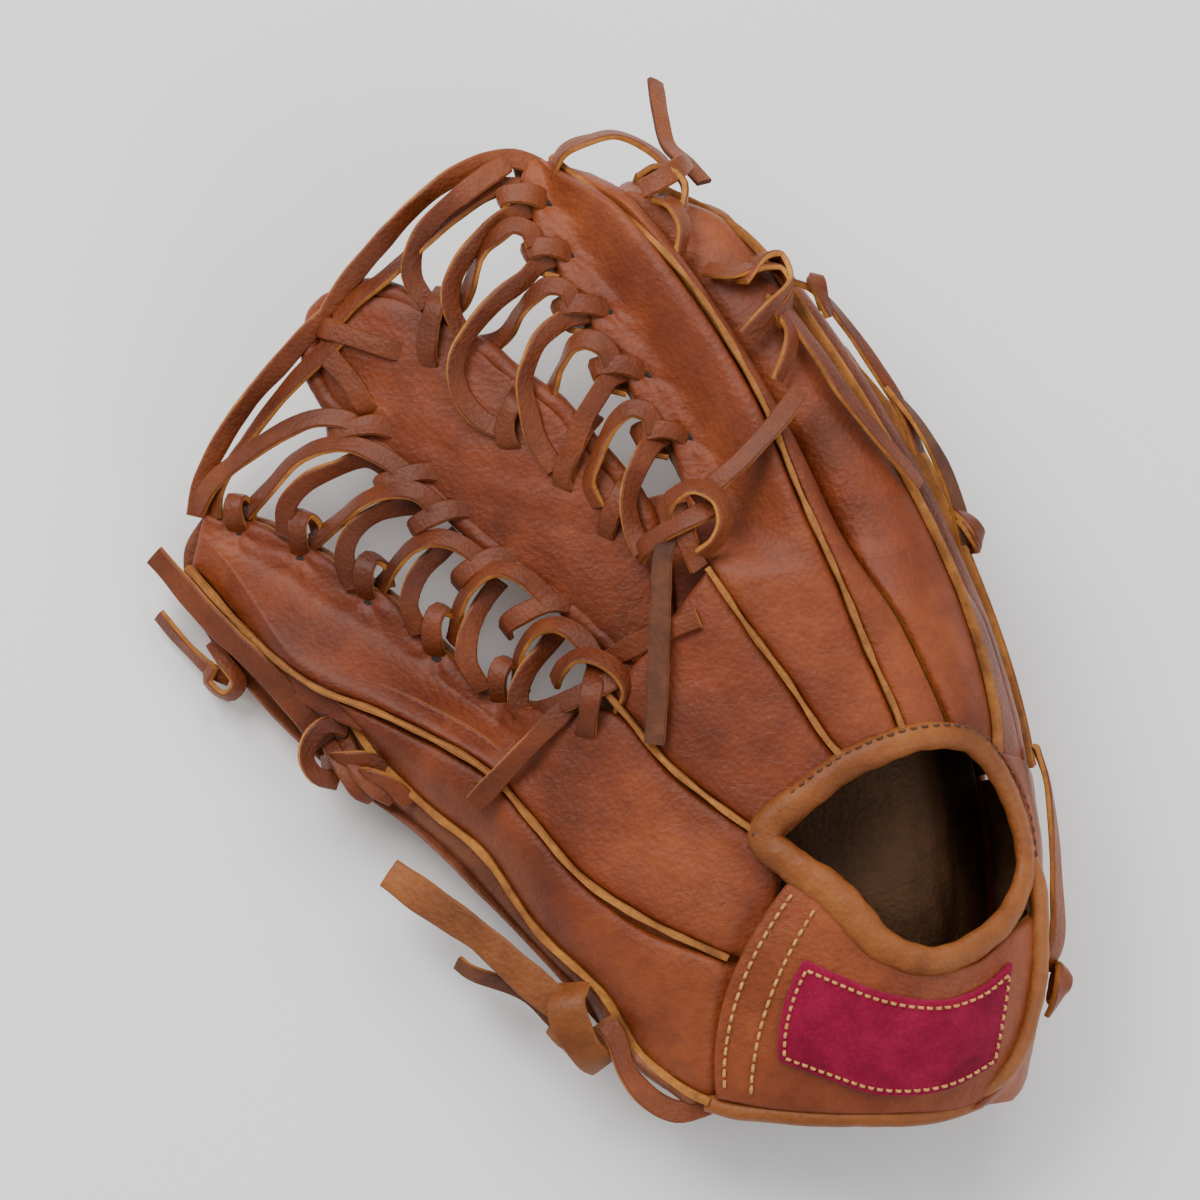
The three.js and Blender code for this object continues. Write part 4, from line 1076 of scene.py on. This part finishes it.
# Long strands come out from under a bar and sweep to the tongue's edge; shorter ones arch back over them
for i, (line, heights, twist) in enumerate([
        ([(-92, 274), (-98, 269), (-105, 263), (-112, 257), (-118, 250), (-121, 243), (-121, 237),
          (-117, 230)],
         [-13, -9, -8.5, -11, -13.5], [0.1, 0.1, 0.5, 1.0, 0.6]),
        ([(-83, 262), (-90, 259), (-97, 254), (-102, 248), (-107, 241), (-110, 233), (-109, 226),
          (-105, 219)],
         [-17, -12, -9.5, -11, -13.5], [0.4, 0.9, 1.0, 0.7]),
        ([(-75, 247), (-83, 244), (-88, 238), (-95, 232), (-102, 224), (-107, 216), (-108, 209), (-106, 202),
          (-101, 196), (-94, 193)], [-17, -12, -8.5, -8, -10.5, -12.8], [0.3, 0.7, 1.0, 0.9, 0.5]),
        ([(-66, 230), (-73, 228), (-78, 225), (-83, 220), (-86, 214), (-88, 207), (-87, 198), (-85, 190),
          (-80, 182)],
         [-17, -12, -8.5, -8.2, -11, -12.6], [0.3, 0.8, 1.0, 0.8, 0.4]),
        ([(-56, 213), (-63, 209), (-67, 203), (-71, 196), (-74, 188), (-77, 181), (-78, 173.5)],
         [-17, -11, -9, -8.8, -11.6, -16], [0.5, 0.4, 0.1, 0]),
        ([(-45, 194), (-51, 190), (-54, 185), (-57, 178), (-58, 171), (-56, 163), (-53, 158)],
         [-17, -11, -9, -9, -9, -7], [0.3, 0.5, 0.8, 0.4])]):
    strand(f"index_sweep_{i}", line, heights, INDEX_TO_WEB, "index_web_lace" if i == 0 else (), twist, i)
for i, (line, heights, twist) in enumerate([
        ([(-84, 249), (-86, 253), (-90, 254), (-95, 251), (-99, 248), (-103, 241), (-106, 235), (-110, 230),
          (-115, 229)], [-11, -8.6, -9.5, -13, -17, -17.5], [0, -0.5, -0.9, -0.5, 0]),
        ([(-73, 231), (-75, 235), (-80, 236), (-85, 233), (-90, 228), (-94, 223), (-98, 220), (-104, 218)],
         [-11, -8.4, -9.5, -13, -17, -17.5], [0, -0.5, -0.8, -0.4, 0]),
        ([(-62, 213), (-64, 218), (-68, 220), (-73, 219), (-77, 214), (-81, 207), (-84, 200), (-88, 195)],
         [-11, -8.4, -9, -13, -17, -17.5], [0, -0.5, -0.9, -0.4, 0]),
        ([(-50, 194), (-52, 199), (-56, 200), (-61, 197), (-65, 191), (-68, 184), (-70, 178), (-68, 171)],
         [-11, -8.2, -8.6, -9.5, -10.5, -13], [0, -0.5, -0.9, -0.9, -0.4])]):
    strand(f"index_arch_{i}", line, heights, INDEX_TO_WEB, (), twist, i + 4)
for i, (line, heights, twist) in enumerate([
        ([(-186, 170), (-180, 178), (-170, 186), (-157, 194), (-148, 197), (-140, 196), (-137, 193)],
         [-14, -10, -8.6, -8.8, -10.6, -12], [0.2, 0.2, 0.6, 0.5, 0.2]),
        ([(-172, 169), (-164, 176), (-155, 185), (-146, 189), (-138, 189), (-129, 185), (-123, 180)],
         [-17, -10.5, -8.6, -8.8, -10.4, -12], [0.5, 0.7, 0.9, 0.6, 0.2]),
        ([(-153, 160), (-142, 168), (-135, 173), (-126, 176), (-119, 175), (-114, 170)],
         [-17, -10.5, -8.6, -9.4, -12], [0.5, 0.8, 0.8, 0.2]),
        ([(-133, 147), (-126, 155), (-120, 160), (-113, 162), (-107, 160), (-101, 155)],
         [-17, -10.5, -8.4, -9.4, -12], [0.4, 0.8, 0.8, 0.2]),
        ([(-112, 131), (-108, 142), (-103, 149), (-96, 153), (-89, 151), (-82, 144)],
         [-17, -10.5, -8.2, -9.2, -12], [0.4, 0.8, 0.9, 0.3]),
        ([(-93, 119), (-90, 129), (-84, 136), (-77, 137), (-71, 133), (-67, 127)],
         [-17, -9, -7, -7, -6], [0.4, 0.8, 0.9, 0.5])]):
    strand(f"thumb_sweep_{i}", line, heights, THUMB_TO_WEB, "thumb_web_lace" if i == 0 else (), twist, i + 7)
for i, (line, heights, twist) in enumerate([
        ([(-159, 163), (-158, 171), (-152, 178), (-144, 182), (-135, 185), (-129, 181)],
         [-12, -9.4, -10.6, -13.5, -17], [0, -0.6, -0.9, -0.3]),
        ([(-139, 147), (-141, 156), (-139, 163), (-134, 168), (-126, 171), (-118, 171)],
         [-12, -9.4, -10.6, -13.5, -17], [0, -0.6, -0.9, -0.3]),
        ([(-120, 134), (-122, 142), (-120, 151), (-114, 158), (-110, 163)],
         [-12, -9.4, -11, -14, -17], [0, -0.6, -0.9, -0.3]),
        ([(-101, 118), (-105, 126), (-105, 134), (-102, 142), (-98, 149)],
         [-11, -9, -10, -13, -17], [0, -0.6, -0.9, -0.3]),
        ([(-86, 107), (-90, 115), (-88, 123), (-83, 130), (-79, 137)],
         [-10, -8, -9, -12, -16], [0, -0.6, -0.9, -0.3])]):
    strand(f"thumb_arch_{i}", line, heights, THUMB_TO_WEB, (), twist, i + 2)
# Two long runs bridge the top of the web from the index stall to the thumb stall, past the tongue's tip
strand("top_lace_index_run", [(-72, 268), (-79, 273), (-88, 276), (-97, 274), (-108, 269), (-121, 259),
                              (-133, 246), (-141, 236),
                              (-146, 228)], [-17.5, -16.5, -13.5, -12, -12.5, -13, -12, -12.5], INDEX_TO_WEB,
       "top_lace_index", [0, 0.5, 0.9, 0.6, 0.8], 3)
strand("top_lace_index_inner_run", [(-76, 261), (-84, 267), (-92, 268), (-99, 265), (-108, 258), (-119, 248),
                                    (-130, 238), (-138, 232),
                                    (-144, 226)], [-17.5, -17, -15.5, -14, -13, -12.5, -12, -12.5],
       INDEX_TO_WEB, "top_lace_index_inner", [0, -0.6, -0.9, -0.5], 4)
strand("top_lace_thumb_run", [(-146, 228), (-152, 222), (-160, 213), (-169, 203), (-178, 190), (-184, 178),
                              (-186, 168)], [-12.5, -12, -12, -13, -14], THUMB_TO_WEB, "top_lace_thumb",
       [0.8, 0.5, 1.0, 0.6, 0.2], 5)
strand("top_lace_thumb_inner_run", [(-142, 222), (-149, 215), (-157, 207), (-167, 195), (-175, 184),
                                    (-180, 175), (-181, 168)], [-12.5, -12, -12, -13, -15], THUMB_TO_WEB,
       "top_lace_thumb_inner", [-0.5, -0.6, -1.0, -0.4], 6)

# ---- knots and loose ends: the lace's flesh side shows where an end is turned over -----------
# root of the index finger
strand("index_knot_bar", [(-55, 157), (-51.5, 160), (-44, 165), (-36, 169), (-31, 172)], [-9, -2, 3.4, 4.6,
                                                                                          1.5],
       "hand", "index_base_knot", [0.3, 0.5, 0.3], 12, width=6)
strand("index_knot_loop", [(-46, 169), (-43, 174), (-36, 177), (-30, 174), (-28, 168), (-30, 162),
                           (-35, 158)],
       [1, 5.5, 6.6, 5.4, 1.5], "hand", (), [0.2, 0.7, 0.9, 0.6], 13, width=6)
strand("index_knot_tie", [(-42, 172), (-40, 165), (-38, 159), (-36, 154)], [2, 2.6, 3, 0.5], "hand", (),
       [0.4, -0.3, 0.5], 14)
strand("index_base_lace_run", [(-37, 173), (-31, 178), (-24, 184), (-15, 194), (-9, 203)], [1, 4.6, 4, 3.8],
       "hand", "index_base_lace", [0.2, 0.3, 0.1], 15, width=5.6, free_from=0)
strand("web_base_lace_run", [(-43, 166), (-45.6, 158), (-46, 148), (-46.5, 132), (-48, 104)],
       [0, 3.6, 4, 4.4, 3.4],
       "hand", "web_base_lace", [0, 0.12, 0.05], 16, width=6, mats=[FLESH, EDGE], free_from=0)
strand("web_base_cross", [(-66, 125.5), (-60, 129), (-51, 133.6), (-43, 137), (-36, 139.8)],
       [-6, -2, 1.4, 1.8], OVER_FOLD, (), 0.0, 17, width=6)
# root of the thumb
strand("thumb_knot_loop", [(-79, 121), (-76, 125), (-70, 129), (-63, 128), (-58, 124), (-56, 119),
                           (-59, 113)],
       [-6, -1, 1.6, 0.6, -4], OVER_FOLD, "thumb_base_knot", [0.2, 0.8, 1.0, 0.7], 18, width=6)
strand("thumb_knot_bar", [(-84, 112), (-77, 114.5), (-69, 118), (-61, 122), (-56, 126)], [-6, 0.4, 2.6, 0.5,
                                                                                          -5],
       OVER_FOLD, (), [0, 0.4, 0.2], 19, width=6)
strand("thumb_knot_tie", [(-66, 127), (-65.5, 119), (-67, 110), (-69, 105)], [-5, 4.4, 3, -2], OVER_FOLD, (),
       [0, 0.2, 0], 20, width=6)
strand("thumb_base_lace_tail", [(-72, 116), (-78, 109), (-85, 101.5), (-92, 94), (-99, 86.5)],
       [0, 4.2, 4.4, 4.2], "thumb", "thumb_base_lace_end", [0, 0.5, 0.35], 21, width=6, free_from=0)
# outer edge of the thumb
strand("thumb_edge_lace_tail", [(-146, 103), (-151, 110), (-163, 124), (-178, 138.5), (-195, 157.5)],
       [-8, -4.6, -4.2, -4.4], "thumb", "thumb_edge_lace_end", [0, 0.25, 0.2], 22, width=7.4, free_from=0)
strand("thumb_edge_knot_loop", [(-140, 107), (-144, 108.5), (-148, 105), (-149.5, 99), (-147, 94),
                                (-142, 92)],
       [-8, -2.5, -1, -2, -7], "thumb", "thumb_edge_knot", [0.3, 0.9, 1.1, 0.6], 23, width=5.4)
for k, (line, turn) in enumerate([([(-146, 104), (-141, 98), (-136, 90), (-133, 87)], 0.5),
                                  ([(-147, 97), (-140, 98.5), (-132, 98), (-128, 95)], -0.5),
                                  ([(-141, 104), (-136, 97), (-131, 90), (-127, 87)], 0.7),
                                  ([(-139, 91), (-133, 94), (-127, 92), (-122, 86)], -0.6)]):
    strand(f"thumb_edge_braid_{k}", line, [-9, -4.5 + 0.8 * (k % 2), -5, -10], "thumb", (), [0, turn, 0],
           24 + k, width=5)
strand("thumb_stub_tail", [(-176, 121), (-181, 123), (-188, 129), (-197, 139)], [-13, -12, -13, -13],
       "thumb", (), [0.2, 0.8, 0.6], 28, width=5)
strand("thumb_stub_knot", [(-181, 131), (-177, 127), (-172, 120), (-176, 116), (-182, 120), (-180, 125)],
       [-13, -9, -10, -12, -10], "thumb", (), [0.4, 0.9, 0.5, 0], 29, width=4.6)
# wrist
strand("wrist_lace_tail", [(-127, 66), (-116, 58.5), (-100, 47.5), (-88, 37), (-77, 28), (-72, 25)],
       [-6, -5, -4, -3, -5], "thumb", "wrist_lace_end", [0.25, 0.1, 0.15, 0.3], 30, width=9.4, mats=[BINDING,
                                                                                                     EDGE],
       free_from=-1)
strand("wrist_lace_point", [(-74, 16), (-80, 22), (-88, 30), (-104, 36), (-108, 39)], [-9, -8, -8, -9],
       "thumb", (), [0.2, 0.3], 31, width=5, mats=[FLESH, EDGE])
strand("wrist_lace_knot_bar", [(-74, 33), (-74, 29), (-72, 22), (-67, 13), (-64, 10)], [-7, -0.5, 0.5, -1.5,
                                                                                        -5],
       "thumb", "wrist_lace_knot", [0, 0.15, 0], 32, width=11, mats=[BINDING, EDGE])
strand("wrist_lace_knot_back", [(-80, 21), (-74, 18), (-67, 17), (-61, 20)], [-9, -4, -4, -8], "thumb", (),
       [0.2, 0.5], 33, width=8, mats=[BINDING, EDGE])
strand("heel_lace_loop", [(-63, 22), (-60, 18), (-57, 9), (-49.5, 0), (-42, -3.4), (-35, -2), (-31, 0)],
       [-4, -2, -2.6, -3.4, -4], OVER_FOLD, (), [0.6, 0.9, 0.6, 0.3], 34, width=6.4)
# fingertips
strand("fingertip_lace_run", [(-78, 272), (-73, 277), (-66, 278), (-59.8, 278.5), (-53, 276), (-47, 271.5),
                              (-44, 268)], [-12, -4, 0, 0, 1, 0], "hand", "fingertip_lace", [0.2, 0.6, 0.3],
       35)
lace("fingertip_lace_tail", [[44, 264, 2], [46, 270, 1], [50, 277, -1], [56, 284, 2], [63, 291, 7]], "hand",
     "fingertip_lace_end", width=5.4, seed=36, mats=[LACE, FLESH], twist=[0.5, 0.3, 0.1], free_from=0)
strand("fingertip_knot_a", [(-50, 270), (-47, 267), (-42, 263), (-39, 258)], [-4, 3, 3.4, -2], "hand", (),
       [0.3, 0.8, 0.3], 37)
strand("fingertip_knot_b", [(-51, 264), (-46, 264.5), (-42, 268), (-40, 272)], [-3, 4.4, 4.6, -3], "hand",
       (), [0.3, -0.5, 0.3], 38)
strand("fingertip_lace_down", [(-46, 262), (-43, 257), (-40, 252), (-40, 246)], [-3, 1, 0, -5], "hand", (),
       [0, 0.6], 39)
strand("middle_lace_tail", [(-15, 232), (-11, 225), (-3.5, 213), (3.5, 202), (15, 187.5), (24.5, 176)],
       [0, 3.6, 3.8, 3.6], "hand", "middle_lace_end", [0.3, 0.1, 0.0, 0.1], 40, width=5.4, free_from=0)
strand("middle_knot_a", [(-31, 243), (-27, 239), (-20, 239), (-15, 237), (-12, 231), (-14, 224)],
       [-6, 1, 4, 4.4, 1], "hand", (), [0.1, 0.4, 0.9, 0.4], 41)
strand("middle_knot_b", [(-24, 236), (-20, 241), (-16, 240), (-13, 233), (-17, 226), (-21, 221)],
       [0, 5, 5.6, 4.4, -3], "hand", (), [0.5, 0.9, 0.3], 42)
strand("middle_stub", [(-14, 228), (-11, 221), (-10.5, 215), (-12, 209)], [1, 2.6, 0.5, -4], "hand", (),
       [0, 0.5], 43, width=5)
lace("little_lace_run", [[52, 238, -1], [55, 232, 3.4], [58, 222, 4.4], [60, 210, 4.6], [61, 198, 4.4],
                         [62, 186, 2]],
     "hand", "little_lace", width=4.6, seed=44, twist=[0.3, -0.3, -0.6, -0.3])
lace("little_lace_tail", [[60, 204, 4], [61, 192, 6.2], [62, 180, 6.4], [63, 168, 4.4], [64, 160, 2]],
     "hand", width=5.6, seed=45, twist=[0.1, -0.5, -0.6], mats=[FLESH, EDGE], free_from=0)
knot("little_knot_upper", [55, 231, 3], 3.9, 1.1, "hand", seed=46)
knot("little_knot_lower", [63, 162, 3.4], 4.6, 2.4, "hand", seed=47, width=5)
lace("strap_lace_tail", [[65, 102, 3.4], [67, 92, 4.6], [68, 78, 4.4], [67, 62, 4], [65, 46, 4],
                         [64, 38, 1]], "hand",
     "strap_lace_end", width=7, seed=48, mats=[LACE, EDGE], twist=[0.2, -0.3, -0.5], free_from=-1)
knot("strap_knot", [63, 34, 3.4], 5.0, 1.5, "hand", seed=49, width=5)

# ---- pads and loops inside -------------------------------------------------------------------
# The loops inside take the lining's near-black look, which is painted shade
for node, look in (("heel_pad_little_side", FELT), ("heel_pad_thumb_side", FELT),
                   ("little_finger_stiffener", FELT), ("thumb_stiffener", FELT),
                   ("little_finger_loop", SHADE_PAINTED_INSIDE), ("thumb_loop", SHADE_PAINTED_INSIDE)):
    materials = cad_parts[node].data.materials
    materials.clear()
    materials.append(look)

# ---- floor, light and camera -----------------------------------------------------------------
FLOOR_SIZE, FLOOR_HEIGHT, FLOOR_COLOUR = 8, -0.0007, (0.96, 0.96, 0.955, 1)
SKY_COLOUR, SKY_STRENGTH = (1, 1, 1, 1), 0.55
LAMPS_LOOK_AT = Vector((0, 0, 0.05))
floor_mat = bpy.data.materials.new("floor_look")
floor_mat.use_nodes = True
floor_bsdf = next(n for n in floor_mat.node_tree.nodes if n.type == "BSDF_PRINCIPLED")
floor_bsdf.inputs["Base Color"].default_value = FLOOR_COLOUR
floor_bsdf.inputs["Roughness"].default_value = 0.7
bpy.ops.mesh.primitive_plane_add(size=FLOOR_SIZE, location=(0, 0, FLOOR_HEIGHT))
floor = bpy.context.object
floor.name = "floor"
floor.data.materials.append(floor_mat)

world = bpy.data.worlds.new("world")
bpy.context.scene.world = world
world.use_nodes = True
sky = world.node_tree.nodes["Background"].inputs
sky["Color"].default_value, sky["Strength"].default_value = SKY_COLOUR, SKY_STRENGTH


def area_light(name, location, size, power):
    data = bpy.data.lights.new(name, "AREA")
    data.size, data.energy = size, power
    lamp = bpy.data.objects.new(name, data)
    bpy.context.scene.collection.objects.link(lamp)
    lamp.location = location
    lamp.rotation_euler = (LAMPS_LOOK_AT - Vector(location)).to_track_quat("-Z", "Y").to_euler()


area_light("key", (-0.7, 0.5, 1.2), 0.7, 16)
area_light("fill", (0.9, -0.6, 1.0), 1.0, 7)
area_light("top", (0.2, 0.9, 1.3), 0.8, 8)

VIEW_FROM = TURN @ np.array([0.0, 0.0, 1.0])
VIEW_UP = TURN @ np.array([0.0, 1.0, 0.0])
FRAME_WIDTH = 342.9 * MM
VIEW_DISTANCE = 2.4
SENSOR_WIDTH = 36
AIM = seen(-65.7, 144.3, -6.0)
aim = np.array(place(AIM))
camera_data = bpy.data.cameras.new("camera")
camera_data.sensor_width = SENSOR_WIDTH
camera_data.lens = SENSOR_WIDTH * VIEW_DISTANCE / FRAME_WIDTH
camera = bpy.data.objects.new("camera", camera_data)
bpy.context.scene.collection.objects.link(camera)
right = np.cross(VIEW_UP, VIEW_FROM)
basis = np.stack([right, VIEW_UP, VIEW_FROM], 1)
eye = Vector(aim + VIEW_FROM * VIEW_DISTANCE)
camera.matrix_world = Matrix.Translation(eye) @ Matrix(basis.tolist()).to_4x4()
bpy.context.scene.camera = camera

bpy.context.view_layer.update()
